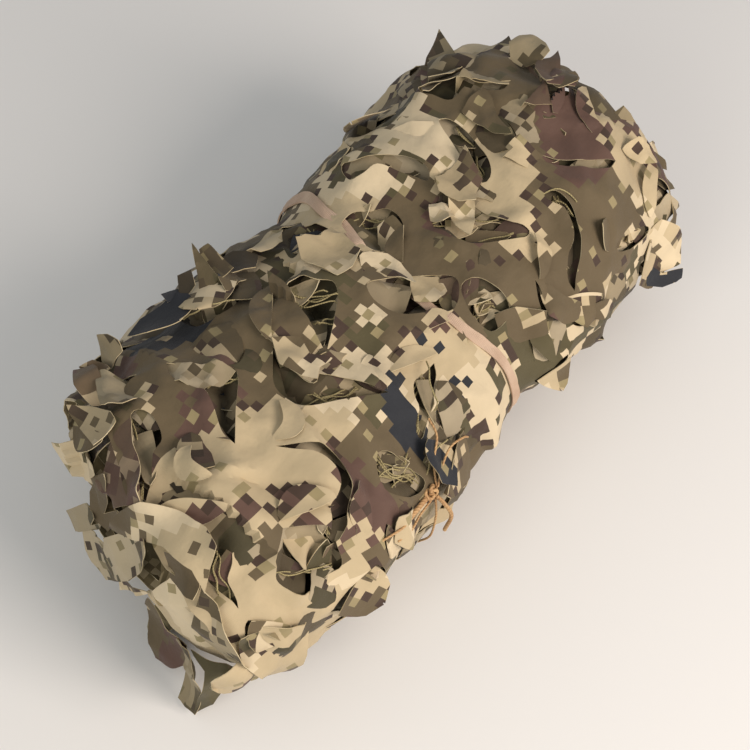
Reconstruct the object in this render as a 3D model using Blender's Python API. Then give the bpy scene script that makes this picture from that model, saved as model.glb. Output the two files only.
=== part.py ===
"""A camouflage net, rolled up and tied, lying on the ground.

The net is one long cloth with leaf cuts, laced to a mesh of cord. Rolled, it is a lumpy bolster:
its inner turns are one wound solid, and its outermost turn is a thin sheet round them, with the
leaf cuts open and their leaves lifted. A flat tape goes round the waist, and a string holds the
loose layers at the front.

Frame: metres, +X along the roll, +Z up, the front is -Y. The origin lies on the ground under the
middle of the whole. Cloth is laid out flat in two measures, in millimetres: "along" runs from end
to end, and "around" runs round the roll from its top line, growing towards the front.
"""

import math
import random
from collections import namedtuple

import bmesh
import bpy
from mathutils import Vector, geometry, noise

MM = 0.001

# ---------------------------------------------------------------- driving dimensions, in millimetres

# The roll
HALF_WIDTH = 126.0        # of the roll's plain oval, at its fullest
HALF_HEIGHT = 92.0
CENTRE_HEIGHT = 92.5      # a little less than it takes to clear the ground, so the roll is flat below
END_BULGE = 12.0          # how far the middle of an end stands out
END_LEDGE = 7.0           # how far each winding stands above the next, on an end
WINDINGS = 3.5            # the windings that an end shows
HUB_STANDS = 1.5
ROLL_IN = 26.0            # the inner turns end this much short of the outermost
HOLLOW_DEPTH = 9.0        # how far the inner turns sag under an open cut
HOLLOW_REACH = 0.62       # how far round its middle, as a share of the cut's longer side

# The outermost turn, a sheet that starts low at the back and goes once round, and a little more
SHEET = 1.5               # its thickness
SHEET_OFF = 4.2           # from the inner turns to the middle of the sheet
GROUND_GAP = 0.8          # between the inner turns and the sheet that they press on the ground
SHEET_START = -270.0      # measured around
LAP = 30.0                # how far its free edge laps over its own start
LAP_STEP = 5.0            # how far the lap stands off
LAP_RISE = 40.0           # the sheet rises to that over this length
LAP_EARLY = 46.0          # and starts this far before the lap

# The oval grows and shrinks from end to end. wide and high are shares of the plain oval.
Section = namedtuple("Section", "along wide high drift")
SECTIONS = [
    Section(-285, 0.70, 0.68, 0),
    Section(-262, 0.82, 0.81, 0),
    Section(-240, 0.90, 0.91, 0),
    Section(-205, 0.97, 0.98, 0),
    Section(-140, 1.02, 1.01, 0),
    Section(-70, 1.00, 1.00, 2),
    Section(-15, 0.95, 0.95, 1),
    Section(26, 0.87, 0.86, 0),
    Section(70, 0.96, 0.96, -1),
    Section(120, 1.01, 1.01, -2),
    Section(190, 1.02, 1.00, 0),
    Section(235, 0.93, 0.92, 2),
    Section(268, 0.78, 0.76, 2),
]

# How far the cloth reaches at each end. It was rolled a little askew, so the reach changes around.
Reach = namedtuple("Reach", "around near far")
REACHES = [
    Reach(-300, 210, 236),
    Reach(-220, 198, 234),
    Reach(-120, 198, 234),
    Reach(-60, 220, 244),
    Reach(0, 250, 248),
    Reach(60, 266, 252),
    Reach(100, 276, 255),
    Reach(150, 276, 254),
    Reach(190, 266, 244),
    Reach(260, 246, 238),
    Reach(358, 234, 238),
    Reach(450, 224, 238),
]

# The main lumps, furrows and twists of the winding. turn is the way a furrow runs, from +X.
Lump = namedtuple("Lump", "along around long broad turn height")
LUMPS = [
    Lump(-190, -40, 60, 40, 20, 7),
    Lump(-120, 30, 90, 30, 35, -6),
    Lump(-150, 110, 60, 35, 10, 7),
    Lump(-75, -90, 50, 40, 120, 6),
    Lump(-30, 40, 60, 26, 140, -5),
    Lump(85, -75, 60, 36, 15, 8),
    Lump(95, 30, 80, 26, 40, -6),
    Lump(150, 75, 60, 40, 150, 7),
    Lump(205, -20, 50, 40, 80, 6),
    Lump(-215, 60, 40, 30, 100, 6),
    Lump(-120, -190, 90, 45, 0, 8),
    Lump(110, -200, 90, 45, 10, 8),
    Lump(0, -240, 60, 30, 90, -5),
    Lump(-60, 190, 80, 34, 170, 6),
    Lump(100, 180, 70, 34, 20, 5),
    Lump(200, 150, 50, 30, 60, -5),
]
UNEVEN = 4.2              # small unevenness of the winding
UNEVEN_SIZE = 50.0
END_SWAY = 5.0            # how far the cloth's ends wander
SWAY_SIZE = 60.0

# How finely the solids are drawn
CORE_AROUND = 60
CORE_ALONG = 30
CAP_RINGS = 7
CLOTH_STEP = 22.0         # between the cloth's points
ROW_STEP = 0.87           # between their rows, as a share of that
ROW_START = 0.6           # from the edge to a row's first point, as a share of that
OUTLINE_CLEAR = 0.42      # nearest to an outline, as a share of that
END_STEPS = 40
SIDE_STEPS = 18
HOLE_STEPS = 9
HINGE_STEPS = 3
LEAF_ROWS = (0.0, 0.3, 0.62, 0.9)     # across a leaf, as shares of its depth
ARC_STEPS = 720
CREASE = 40               # degrees: a sharper edge is drawn as a crease

# The leaf cuts that lie open on the top and the front, by the middle of their hinge line. The leaf
# points the way of turn, from +X towards the front. sharp is 2 for a round leaf, less for a pointed
# one. bow is how far the hinge side has been pulled back. lift is the leaf's angle off the roll.
# A leaf with no lift is tucked in, so that only its hole shows.
Cut = namedtuple("Cut", "along around wide deep turn sharp bow lift")
SHOWN_CUTS = [
    Cut(-42, -26, 42, 60, 125, 1.2, 2, 0),
    Cut(-88, 36, 78, 36, 166, 1.9, 3, 12),
    Cut(-148, -32, 50, 62, 122, 1.6, 4, 0),
    Cut(-199, -37, 28, 50, 139, 1.5, 2, 0),
    Cut(-184, 62, 62, 48, 40, 2.1, 3, 16),
    Cut(-196, 116, 40, 32, 168, 1.9, 3, 30),
    Cut(-94, 120, 34, 36, 175, 2.1, 4, 0),
    Cut(-30, 88, 18, 56, 148, 1.4, 2, 0),
    Cut(14, 40, 72, 30, 147, 2.2, 3, 0),
    Cut(46, 92, 36, 24, 165, 1.9, 3, 24),
    Cut(-8, -66, 38, 24, 172, 1.8, 3, 0),
    Cut(52, -28, 44, 28, 172, 2.2, 3, 0),
    Cut(86, -50, 60, 20, 165, 2.0, 2, 16),
    Cut(137, -28, 34, 54, 122, 1.6, 3, 0),
    Cut(90, 32, 66, 30, 161, 2.0, 3, 20),
    Cut(127, 68, 28, 58, 116, 1.5, 3, 14),
    Cut(186, -42, 54, 20, 155, 2.0, 2, 14),
    Cut(226, 8, 32, 28, 172, 1.5, 2, 0),
    Cut(179, 56, 56, 12, 138, 2.2, 0, 14),
    Cut(182, 120, 34, 30, 150, 1.8, 3, 22),
    Cut(-48, 160, 42, 44, 192, 1.5, 0, 14),
    Cut(-227, 52, 28, 60, 129, 1.6, 3, 0),
    Cut(-152, -112, 40, 34, -100, 1.8, 3, 44),
    Cut(-82, -80, 50, 36, 150, 2.0, 3, 14),
    Cut(-178, -84, 34, 18, 160, 1.9, 2, 24),
    Cut(-140, 146, 30, 16, 165, 1.6, 0, 20),
    Cut(-184, 160, 44, 30, 55, 2.4, 3, 30),
    Cut(58, 170, 32, 26, 80, 1.3, 2, 34),
    Cut(186, 166, 44, 40, 50, 3.2, 3, 38),
    Cut(206, -98, 42, 34, -80, 1.2, 2, 52),
    Cut(104, 134, 36, 24, 120, 1.9, 2, 18),
    Cut(-244, 138, 34, 24, 140, 1.8, 2, 22),
    Cut(132, -104, 44, 34, 150, 1.8, 3, 26),
    Cut(-38, -128, 40, 34, -110, 1.7, 3, 30),
]
# On the back and below, the cuts go in even rows, as they were cut, each a little different.
PLAIN_ROWS = [-212, -158, 220, 278, 336, 396]
GROUND_ROWS = (278, 336, 396)     # too near the ground for a lifted leaf
ROW_LIFTS = (0, 18, 26, 34)
ROW_PITCH = 76.0
ROW_SHIFT = 6.0           # how far a cut of a row is out of its place
ROW_ENDS = 220.0
END_CLEAR = 30.0          # no cut of these rows is nearer to the cloth's end
TAPE_CLEAR = 34.0         # nor to the tape
CUT_CLEAR = 58.0          # nor to a cut that is placed by itself, between their middles

# A leaf is a little smaller than the hole it was cut from, and it curls over its first part
LEAF_SHORT, LEAF_NARROW, LEAF_CURL = 0.94, 0.93, 0.7
END_NARROW = 0.95

# Leaves of the cloth's own edge, at both ends of the roll. lift bends them in over the end, or out, over
# the share of their depth that is called curl.
EndLeaf = namedtuple("EndLeaf", "end around wide deep sharp lift curl")
END_LEAVES = [
    EndLeaf(-1, -212, 56, 26, 1.6, -60, 0.8),
    EndLeaf(-1, -140, 52, 22, 1.4, -40, 0.8),
    EndLeaf(-1, -78, 50, 26, 1.5, -56, 0.8),
    EndLeaf(-1, -16, 58, 86, 1.9, -88, 0.4),
    EndLeaf(-1, 56, 76, 104, 2.0, -98, 0.62),
    EndLeaf(-1, 124, 54, 84, 2.0, -80, 0.4),
    EndLeaf(-1, 178, 44, 34, 2.6, -48, 0.8),
    EndLeaf(-1, 234, 44, 30, 1.6, -80, 0.8),
    EndLeaf(-1, 292, 36, 44, 3.2, 3, 0.8),
    EndLeaf(-1, 346, 34, 30, 1.8, 8, 0.8),
    EndLeaf(1, -220, 56, 36, 1.6, -58, 0.8),
    EndLeaf(1, -150, 50, 30, 1.5, -30, 0.8),
    EndLeaf(1, -96, 44, 24, 1.3, -16, 0.8),
    EndLeaf(1, -42, 50, 26, 2.4, 14, 0.8),
    EndLeaf(1, 8, 36, 20, 1.2, 12, 0.8),
    EndLeaf(1, 72, 44, 24, 1.3, -4, 0.8),
    EndLeaf(1, 134, 54, 36, 1.6, -50, 0.8),
    EndLeaf(1, 196, 54, 36, 2.4, -58, 0.8),
]

# Tape and string
TAPE_WIDE = 9.0
TAPE_THICK = 1.2
# Where the tape runs, from below at the back, over the top and down the front
TapeStop = namedtuple("TapeStop", "around along")
TAPE_RUN = [
    TapeStop(-358, 28),
    TapeStop(-240, 38),
    TapeStop(-112, 41),
    TapeStop(-55, 24),
    TapeStop(-8, 10),
    TapeStop(72, 6),
    TapeStop(142, 20),
    TapeStop(240, 26),
    TapeStop(358, 28),
]
TAPE_GAP = 0.9
TAPE_STEPS = 72
TAPE_BED_WIDE = 14.0      # the cloth is drawn finer just under the tape
TAPE_BED_STEP = 11.0
TAPE_BED_CLEAR = 6.0
TAPE_OVER_LAP = 8.0       # the tape stays up this far past the lap
STRING = 3.0
KNOT_ALONG = -98.0
KNOT_AROUND = 146.0
KNOT_STRING = 2.6         # the string is drawn thin in its knot
KNOT_RADIUS = 3.4
KNOT_DEPTH = 1.75
KNOT_TURN = 55.0          # degrees from +X to its first lobe
KNOT_GAP = 0.3
# Each free end of the string starts at a lobe of the knot, and passes these places on the cloth
FreeEnd = namedtuple("FreeEnd", "lobe stops")
Stop = namedtuple("Stop", "along around off")
FREE_ENDS = [
    FreeEnd(2, [Stop(-92, 160, 5.5), Stop(-89, 173, 8.0), Stop(-90, 192, 6.0)]),
    FreeEnd(1, [Stop(-112, 144.5, 3.4), Stop(-126, 144, 2.6), Stop(-140, 148, 2.2)]),
]


def smooth(share):
    """0 to 1 with no kink at either end."""
    share = min(1.0, max(0.0, share))
    return share * share * (3 - 2 * share)


def row_at(rows, place):
    """The other columns of a table at a place in its first column, with no kink between rows."""
    place = min(rows[-1][0], max(rows[0][0], place))
    for low, high in zip(rows, rows[1:]):
        if place <= high[0]:
            share = smooth((place - low[0]) / (high[0] - low[0]))
            return [a + (b - a) * share for a, b in zip(low[1:], high[1:])]


def arc_table():
    """The way round the plain oval from its top, for each of many equal angles."""
    table, total, turn = [0.0], 0.0, 2 * math.pi / ARC_STEPS
    for step in range(ARC_STEPS):
        angle = turn * (step + 0.5)
        total += math.hypot(HALF_WIDTH * math.cos(angle), HALF_HEIGHT * math.sin(angle)) * turn
        table.append(total)
    return table


ARCS = arc_table()
GIRTH = ARCS[-1]
SHEET_STOP = SHEET_START + GIRTH + LAP


def angle_at(around):
    """The oval's angle, from the top, at that way round it."""
    turns, way = divmod(around, GIRTH)
    low, high = 0, len(ARCS) - 1
    while high - low > 1:
        middle = (low + high) // 2
        if ARCS[middle] <= way:
            low = middle
        else:
            high = middle
    share = (way - ARCS[low]) / (ARCS[high] - ARCS[low])
    return 2 * math.pi * (turns + (low + share) / (len(ARCS) - 1))


def apart(around, other):
    """The short way round from one place to another, in millimetres, with its sign."""
    return (around - other + GIRTH / 2) % GIRTH - GIRTH / 2


def lumpiness(along, around):
    """How far the winding stands out of, or sinks below, the plain oval."""
    height = 0.0
    for lump in LUMPS:
        x, y = along - lump.along, apart(around, lump.around)
        turn = math.radians(lump.turn)
        run = (x * math.cos(turn) + y * math.sin(turn)) / lump.long
        cross = (y * math.cos(turn) - x * math.sin(turn)) / lump.broad
        height += lump.height * math.exp(-run * run - cross * cross)
    angle = angle_at(around)
    spot = Vector((along, HALF_WIDTH * math.sin(angle), HALF_HEIGHT * math.cos(angle))) / UNEVEN_SIZE
    return height + UNEVEN * noise.noise(spot)


def roll_point(along, around, off):
    """(point, outward direction) on the roll, off above its winding, in millimetres."""
    wide, high, drift = row_at(SECTIONS, along)
    angle = angle_at(around)
    across, up = HALF_WIDTH * wide, HALF_HEIGHT * high
    out = Vector((0, -math.sin(angle) / across, math.cos(angle) / up)).normalized()
    middle = Vector((along, drift - across * math.sin(angle), CENTRE_HEIGHT + up * math.cos(angle)))
    return middle + out * (lumpiness(along, around) + off), out


def reach(end, around):
    """Where the cloth ends, at the near end (-1) or the far one (1)."""
    near_end, far_end = row_at(REACHES, around)
    return far_end if end > 0 else -near_end


def sheet_off(around):
    """The outermost turn lies close, and its last stretch rises over its own start."""
    return SHEET_OFF + LAP_STEP * smooth((around - (SHEET_STOP - LAP - LAP_EARLY)) / LAP_RISE)


def add_object(name, points, faces, material):
    """One named object from points in millimetres."""
    mesh = bpy.data.meshes.new(name)
    mesh.from_pydata([point * MM for point in points], [], faces)
    mesh.materials.append(material)
    shown = bpy.data.objects.new(name, mesh)
    bpy.context.scene.collection.objects.link(shown)
    mesh.shade_smooth()
    mesh.set_sharp_from_angle(angle=math.radians(CREASE))
    return shown


def cloth_material(name, colour, roughness):
    material = bpy.data.materials.new(name)
    material.use_nodes = True
    surface = material.node_tree.nodes["Principled BSDF"]
    surface.inputs["Base Color"].default_value = (*colour, 1)
    surface.inputs["Roughness"].default_value = roughness
    surface.inputs["Metallic"].default_value = 0
    return material


# ---------------------------------------------------------------- the leaf cuts


def all_cuts():
    """The cuts that show, and the rows on the back and below."""
    dice = random.Random(11)
    cuts = list(SHOWN_CUTS)
    for row, around in enumerate(PLAIN_ROWS):
        shift = ROW_PITCH / 2 * (row % 2)
        for step in range(int(2 * ROW_ENDS // ROW_PITCH) + 1):
            along = -ROW_ENDS + shift + step * ROW_PITCH + dice.uniform(-ROW_SHIFT, ROW_SHIFT)
            low, high = reach(-1, around) + END_CLEAR, reach(1, around) - END_CLEAR
            if not low < along < high or abs(along - tape_along(around)) < TAPE_CLEAR:
                continue
            wide, deep = dice.uniform(34, 46), dice.uniform(30, 38)
            turn, sharp = dice.uniform(60, 150), dice.uniform(1.5, 2.1)
            lift = 0 if around in GROUND_ROWS else dice.choice(ROW_LIFTS)
            cut = Cut(along, around, wide, deep, turn, sharp, 3, lift)
            if all(math.dist(cut_middle(cut), cut_middle(shown)) > CUT_CLEAR for shown in SHOWN_CUTS):
                cuts.append(cut)
    return cuts


def to_cloth(cut, x, y):
    """A leaf's own measures, x along its hinge and y towards its tip, as (along, around)."""
    turn = math.radians(cut.turn)
    return (
        cut.along + y * math.cos(turn) + x * math.sin(turn),
        cut.around + y * math.sin(turn) - x * math.cos(turn),
    )


def cut_middle(cut):
    return to_cloth(cut, 0, cut.deep / 2)


def half_width(cut, share):
    """Half the leaf's width at a share of its depth, 0 at the hinge."""
    return cut.wide / 2 * (1 - share ** cut.sharp) ** (1 / cut.sharp)


def hinge_y(cut, x):
    return -cut.bow * (1 - (2 * x / cut.wide) ** 2)


def hole_outline(cut):
    """The hole of a cut as (along, around) points: the hinge line first, then round by the tip."""
    hinge = []
    for step in range(HINGE_STEPS + 1):
        x = cut.wide * (step / HINGE_STEPS - 0.5)
        hinge.append((x, hinge_y(cut, x)))
    arc = []
    for step in range(1, HOLE_STEPS):
        angle = math.pi * step / HOLE_STEPS
        cosine, sine = math.cos(angle), math.sin(angle)
        arc.append((
            math.copysign(abs(cosine) ** (2 / cut.sharp), cosine) * cut.wide / 2,
            sine ** (2 / cut.sharp) * cut.deep,
        ))
    return [to_cloth(cut, x, y) for x, y in hinge + arc]


# ---------------------------------------------------------------- the outermost turn


def sheet_edge():
    """The outline of the flat cloth: its far end, then the near one. The ends wander a little."""
    ends = []
    for end in (1, -1):
        row = []
        for step in range(END_STEPS + 1):
            around = SHEET_START + (SHEET_STOP - SHEET_START) * step / END_STEPS
            sway = END_SWAY * noise.noise(Vector((around / SWAY_SIZE, 3.7 * end, 0)))
            row.append((reach(end, around) + sway, around))
        ends.append(row)
    sides = []
    for around in (SHEET_START, SHEET_STOP):
        low, high = reach(-1, around), reach(1, around)
        sides.append([(low + (high - low) * step / SIDE_STEPS, around) for step in range(1, SIDE_STEPS)])
    return ends[0] + sides[1][::-1] + ends[1][::-1] + sides[0]


def inside(point, outline):
    """Whether a flat point lies in an outline."""
    x, y = point
    crossings = 0
    for (ax, ay), (bx, by) in zip(outline, outline[1:] + outline[:1]):
        if (ay > y) != (by > y) and x < ax + (y - ay) / (by - ay) * (bx - ax):
            crossings += 1
    return crossings % 2 == 1


def near(point, outline, distance):
    return any(math.dist(point, other) < distance for other in outline)


def tape_bed(holes):
    """Flat points in two close lines under the tape, so that it can lie on the cloth."""
    bed = []
    for step in range(1, int((SHEET_STOP - SHEET_START) // TAPE_BED_STEP)):
        around = SHEET_START + step * TAPE_BED_STEP
        for side in (-1, 1):
            spot = (tape_along(around) + side * TAPE_BED_WIDE / 2, around)
            if not any(near(spot, hole, TAPE_BED_CLEAR) or inside(spot, hole) for hole in holes):
                bed.append(spot)
    return bed


def field(outlines, bed):
    """Flat points in staggered rows over the rest of the cloth."""
    spots, row, around = [], 0, SHEET_START + CLOTH_STEP / 2
    while around < SHEET_STOP - CLOTH_STEP / 3:
        along = reach(-1, around) + CLOTH_STEP * (ROW_START + 0.5 * (row % 2))
        while along < reach(1, around) - CLOTH_STEP / 2:
            spot = (along, around)
            taken = any(near(spot, outline, CLOTH_STEP * OUTLINE_CLEAR) for outline in outlines + [bed])
            if not taken and not any(inside(spot, hole) for hole in outlines[1:]):
                spots.append(spot)
            along += CLOTH_STEP
        around += CLOTH_STEP * ROW_STEP
        row += 1
    return spots


def flat_sheet(cuts):
    """The cut cloth laid out flat: its points, its triangles, and the points of each outline."""
    edge = sheet_edge()
    outlines = [edge] + [hole_outline(cut) for cut in cuts]
    points, edges, outline_ids = [], [], []
    for outline in outlines:
        ids = list(range(len(points), len(points) + len(outline)))
        edges += list(zip(ids, ids[1:] + ids[:1]))
        outline_ids.append(ids)
        points += outline
    bed = tape_bed(outlines[1:])
    points += bed + field(outlines, bed)
    made, _, faces, sources, *_ = geometry.delaunay_2d_cdt([Vector(p) for p in points], edges, [], 0, 1e-5)
    place = {source: number for number, found in enumerate(sources) for source in found}
    kept = []
    for face in faces:
        middle = sum((made[i] for i in face), Vector((0, 0))) / 3
        if inside(middle, edge) and not any(inside(middle, hole) for hole in outlines[1:]):
            kept.append(tuple(face[::-1]))
    return [tuple(p) for p in made], kept, [[place[i] for i in ids] for ids in outline_ids]


def bend_leaf(deep, lift, curl, steps=24):
    """(forward, up) at each row of a leaf that curls to its lift over the first part of its depth."""
    places, forward, up = [], 0.0, 0.0
    marks = [round(share * steps) for share in LEAF_ROWS[1:]]
    for step in range(steps + 1):
        if step in marks:
            places.append((forward, up))
        angle = math.radians(lift) * smooth((step + 0.5) / steps / curl)
        forward += deep / steps * math.cos(angle)
        up += deep / steps * math.sin(angle)
    return places


def leaf_points(origin, sideways, ahead, out, halves, places):
    """Rows of three points across a leaf, each row moved ahead and up as its bend says."""
    rows = []
    for half, (forward, up) in zip(halves, places):
        middle = origin + ahead * forward + out * up
        rows.append([middle + sideways * (half * side) for side in (-1, 0, 1)])
    return rows


def outermost_turn(cuts):
    """The middle surface of the sheet with all its leaves: points and faces."""
    flat, faces, outlines = flat_sheet(cuts)
    points = [roll_point(along, around, sheet_off(around))[0] for along, around in flat]
    edge = outlines[0]
    for cut, outline in zip(cuts, outlines[1:]):
        if cut.lift:
            add_cut_leaf(points, faces, cut, outline[:HINGE_STEPS + 1])
    far_end = edge[:END_STEPS + 1]
    near_end = edge[END_STEPS + SIDE_STEPS:2 * END_STEPS + SIDE_STEPS + 1][::-1]
    for leaf in END_LEAVES:
        add_end_leaf(points, faces, leaf, far_end if leaf.end > 0 else near_end)
    return points, faces


def add_cut_leaf(points, faces, cut, hinge):
    """The cloth cut free inside a hole, turned up about its hinge line."""
    off = sheet_off(cut.around)
    origin, out = roll_point(*to_cloth(cut, 0, -cut.bow), off)
    tip, _ = roll_point(*to_cloth(cut, 0, cut.deep), off)
    ahead = (tip - origin).normalized()
    ahead = (ahead - out * ahead.dot(out)).normalized()
    sideways = ahead.cross(out)
    places = bend_leaf(cut.deep * LEAF_SHORT, cut.lift, LEAF_CURL)
    halves = [half_width(cut, share) * LEAF_NARROW for share in LEAF_ROWS[1:]]
    if (points[hinge[-1]] - points[hinge[0]]).dot(sideways) < 0:
        sideways = -sideways
    rows = leaf_points(origin, sideways, ahead, out, halves, places)
    add_leaf_faces(points, faces, hinge, rows)


def add_leaf_faces(points, faces, hinge, rows):
    """Joins the hinge's points to a leaf's rows, with faces that look the same way as the sheet."""
    first = len(points)
    for row in rows:
        points.extend(row)
    ids = [[first + 3 * i + j for j in range(3)] for i in range(len(rows))]
    a, b, c, d = hinge
    left, middle, right = ids[0]
    new = [(a, b, left), (b, middle, left), (b, c, middle), (c, right, middle), (c, d, right)]
    for low, high in zip(ids, ids[1:]):
        for j in range(2):
            new += [(low[j], low[j + 1], high[j + 1]), (low[j], high[j + 1], high[j])]
    beside = next(face for face in faces if a in face and b in face)
    if beside[(beside.index(a) + 1) % 3] == b:
        new = [face[::-1] for face in new]
    faces.extend(new)


def add_end_leaf(points, faces, leaf, row):
    """A leaf of the cloth's end edge, on the four edge points nearest to its place."""
    pitch = (SHEET_STOP - SHEET_START) / END_STEPS
    start = round((leaf.around - SHEET_START) / pitch - HINGE_STEPS / 2)
    hinge = row[start:start + HINGE_STEPS + 1]
    origin = (points[hinge[1]] + points[hinge[2]]) / 2
    _, out = roll_point(reach(leaf.end, leaf.around), leaf.around, 0)
    ahead = Vector((leaf.end, 0, 0))
    sideways = (points[hinge[-1]] - points[hinge[0]]).normalized()
    shape = Cut(0, 0, leaf.wide, leaf.deep, 0, leaf.sharp, 0, leaf.lift)
    places = bend_leaf(leaf.deep, leaf.lift, leaf.curl)
    halves = [half_width(shape, share) * END_NARROW for share in LEAF_ROWS[1:]]
    rows = leaf_points(origin, sideways, ahead, out, halves, places)
    add_leaf_faces(points, faces, hinge, rows)


def thicken(points, faces):
    """A closed solid from the middle surface: two skins, and a rim along every open edge."""
    work = bmesh.new()
    for point in points:
        work.verts.new(point)
    work.verts.ensure_lookup_table()
    for face in faces:
        work.faces.new([work.verts[i] for i in face])
    work.normal_update()
    work.verts.index_update()
    halves = [vert.normal * (SHEET / 2) for vert in work.verts]
    loops = [edge.link_loops[0] for edge in work.edges if edge.is_boundary]
    rims = [(loop.vert.index, loop.link_loop_next.vert.index) for loop in loops]
    work.free()
    outer = [point + half for point, half in zip(points, halves)]
    inner = [point - half for point, half in zip(points, halves)]
    for point in outer:
        point.z = max(point.z, 0.0)
    for point in inner:
        point.z = max(point.z, SHEET)
    count = len(points)
    solid = list(faces) + [tuple(count + i for i in face[::-1]) for face in faces]
    for a, b in rims:
        solid += [(b, a, count + a), (b, count + a, count + b)]
    return outer + inner, solid


# ---------------------------------------------------------------- the inner turns


def hollow(along, around, cuts):
    """How far the inner turns sag under the open cuts."""
    depth = 0.0
    for cut in cuts:
        x, y = cut_middle(cut)
        away = math.hypot(along - x, apart(around, y)) / (HOLLOW_REACH * max(cut.wide, cut.deep))
        if away < 1:
            depth = max(depth, HOLLOW_DEPTH * (1 - away * away) ** 2)
    return depth


def inner_turns(cuts):
    """The wound turns as one solid: the side in rings, and ends whose face steps down in a spiral."""
    arounds = [GIRTH * step / CORE_AROUND for step in range(CORE_AROUND)]
    rings = []
    for step in range(CORE_ALONG + 1):
        ring = []
        for around in arounds:
            turn = around if around < SHEET_STOP - LAP else around - GIRTH
            low, high = reach(-1, turn) + ROLL_IN, reach(1, turn) - ROLL_IN
            along = low + (high - low) * step / CORE_ALONG
            ring.append(roll_point(along, around, -hollow(along, around, cuts))[0])
        rings.append(ring)
    for end in (-1, 1):
        rim = rings[0] if end < 0 else rings[-1]
        middle = sum(rim, Vector()) / CORE_AROUND
        cap = []
        for number in range(1, CAP_RINGS):
            share = 1 - number / CAP_RINGS
            ring = []
            for step, point in enumerate(rim):
                step_down = (WINDINGS * share + step / CORE_AROUND) % 1.0
                bulge = END_BULGE * (1 - share * share) + END_LEDGE * (step_down - 0.5)
                ring.append(middle + (point - middle) * share + Vector((end * bulge, 0, 0)))
            cap.append(ring)
        rings = (cap[::-1] + rings) if end < 0 else (rings + cap)
    points = [point for ring in rings for point in ring]
    faces = []
    for number in range(len(rings) - 1):
        for step in range(CORE_AROUND):
            a = number * CORE_AROUND + step
            b = number * CORE_AROUND + (step + 1) % CORE_AROUND
            faces += [(a, b, b + CORE_AROUND), (a, b + CORE_AROUND, a + CORE_AROUND)]
    last = (len(rings) - 1) * CORE_AROUND
    for end, first, ring in ((-1, 0, rings[0]), (1, last, rings[-1])):
        hub = len(points)
        points.append(sum(ring, Vector()) / CORE_AROUND + Vector((end * HUB_STANDS, 0, 0)))
        for step in range(CORE_AROUND):
            a, b = first + step, first + (step + 1) % CORE_AROUND
            faces.append((hub, b, a) if end < 0 else (hub, a, b))
    for point in points:
        point.z = max(point.z, SHEET + GROUND_GAP)
    return points, faces


# ---------------------------------------------------------------- tape and string


def tape_along(around):
    """Where the tape runs along the roll, at a place around it."""
    return row_at(TAPE_RUN, apart(around, 0))[0]


def tape_band():
    """The flat tape as a closed band that lies on the outermost turn."""
    points, faces = [], []
    low = SHEET / 2 + TAPE_GAP
    for step in range(TAPE_STEPS):
        around = -GIRTH / 2 + GIRTH * step / TAPE_STEPS
        turn = around if around > SHEET_START else around + GIRTH
        lap = around < SHEET_START + LAP + TAPE_OVER_LAP
        lift = max(sheet_off(turn), sheet_off(around + GIRTH) if lap else 0)
        for off in (low, low + TAPE_THICK):
            for side in (-1, 1):
                along = tape_along(around) + side * TAPE_WIDE / 2
                points.append(roll_point(along, around, lift + off)[0])
    for step in range(TAPE_STEPS):
        a, b = 4 * step, 4 * ((step + 1) % TAPE_STEPS)
        for i, j in ((0, 1), (1, 3), (3, 2), (2, 0)):
            faces += [(a + i, a + j, b + j), (a + i, b + j, b + i)]
    return points, faces


def string_curve(name, route, thick, material):
    """A round string along a smooth route, as a curve with filled ends."""
    curve = bpy.data.curves.new(name, "CURVE")
    curve.dimensions = "3D"
    curve.bevel_depth = thick / 2 * MM
    curve.bevel_resolution = 2
    curve.use_fill_caps = True
    spline = curve.splines.new("POLY")
    spline.points.add(len(route) - 1)
    for spot, point in zip(spline.points, route):
        spot.co = (*(point * MM), 1)
    curve.materials.append(material)
    shown = bpy.data.objects.new(name, curve)
    bpy.context.scene.collection.objects.link(shown)
    return shown


def smooth_route(stops, spacing):
    """Evenly spaced points on a smooth curve through the stops."""
    dense = []
    padded = [stops[0] * 2 - stops[1], *stops, stops[-1] * 2 - stops[-2]]
    for a, b, c, d in zip(padded, padded[1:], padded[2:], padded[3:]):
        for step in range(16):
            t = step / 16
            bend, twist = 2 * a - 5 * b + 4 * c - d, 3 * b - a - 3 * c + d
            dense.append(0.5 * (2 * b + (c - a) * t + bend * t ** 2 + twist * t ** 3))
    dense.append(stops[-1])
    route, left = [dense[0]], spacing
    for low, high in zip(dense, dense[1:]):
        length = (high - low).length
        while length > left:
            low = low + (high - low) * (left / length)
            route.append(low)
            length = (high - low).length
            left = spacing
        left -= length
    route.append(dense[-1])
    return route


def knot_place(off):
    """(point, outward direction) of the knot, off above the outermost turn."""
    return roll_point(KNOT_ALONG, KNOT_AROUND, sheet_off(KNOT_AROUND) + SHEET / 2 + off)


def knot_frame():
    """(seat, flat, out): the knot's middle, the directions that lie flat on the cloth, and the way off it."""
    seat, out = knot_place(KNOT_GAP + KNOT_DEPTH + STRING / 2)
    first = Vector((1, 0, 0))
    second = out.cross(first).normalized()
    return seat, lambda angle: first * math.cos(angle) + second * math.sin(angle), out


def knot_lobe(number):
    """Just outside one of the knot's three lobes, where a free end starts."""
    seat, flat, _ = knot_frame()
    angle = math.radians(KNOT_TURN + 120 * number)
    return seat + flat(angle) * (KNOT_RADIUS + KNOT_DEPTH + KNOT_STRING / 2 + KNOT_GAP)


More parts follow.
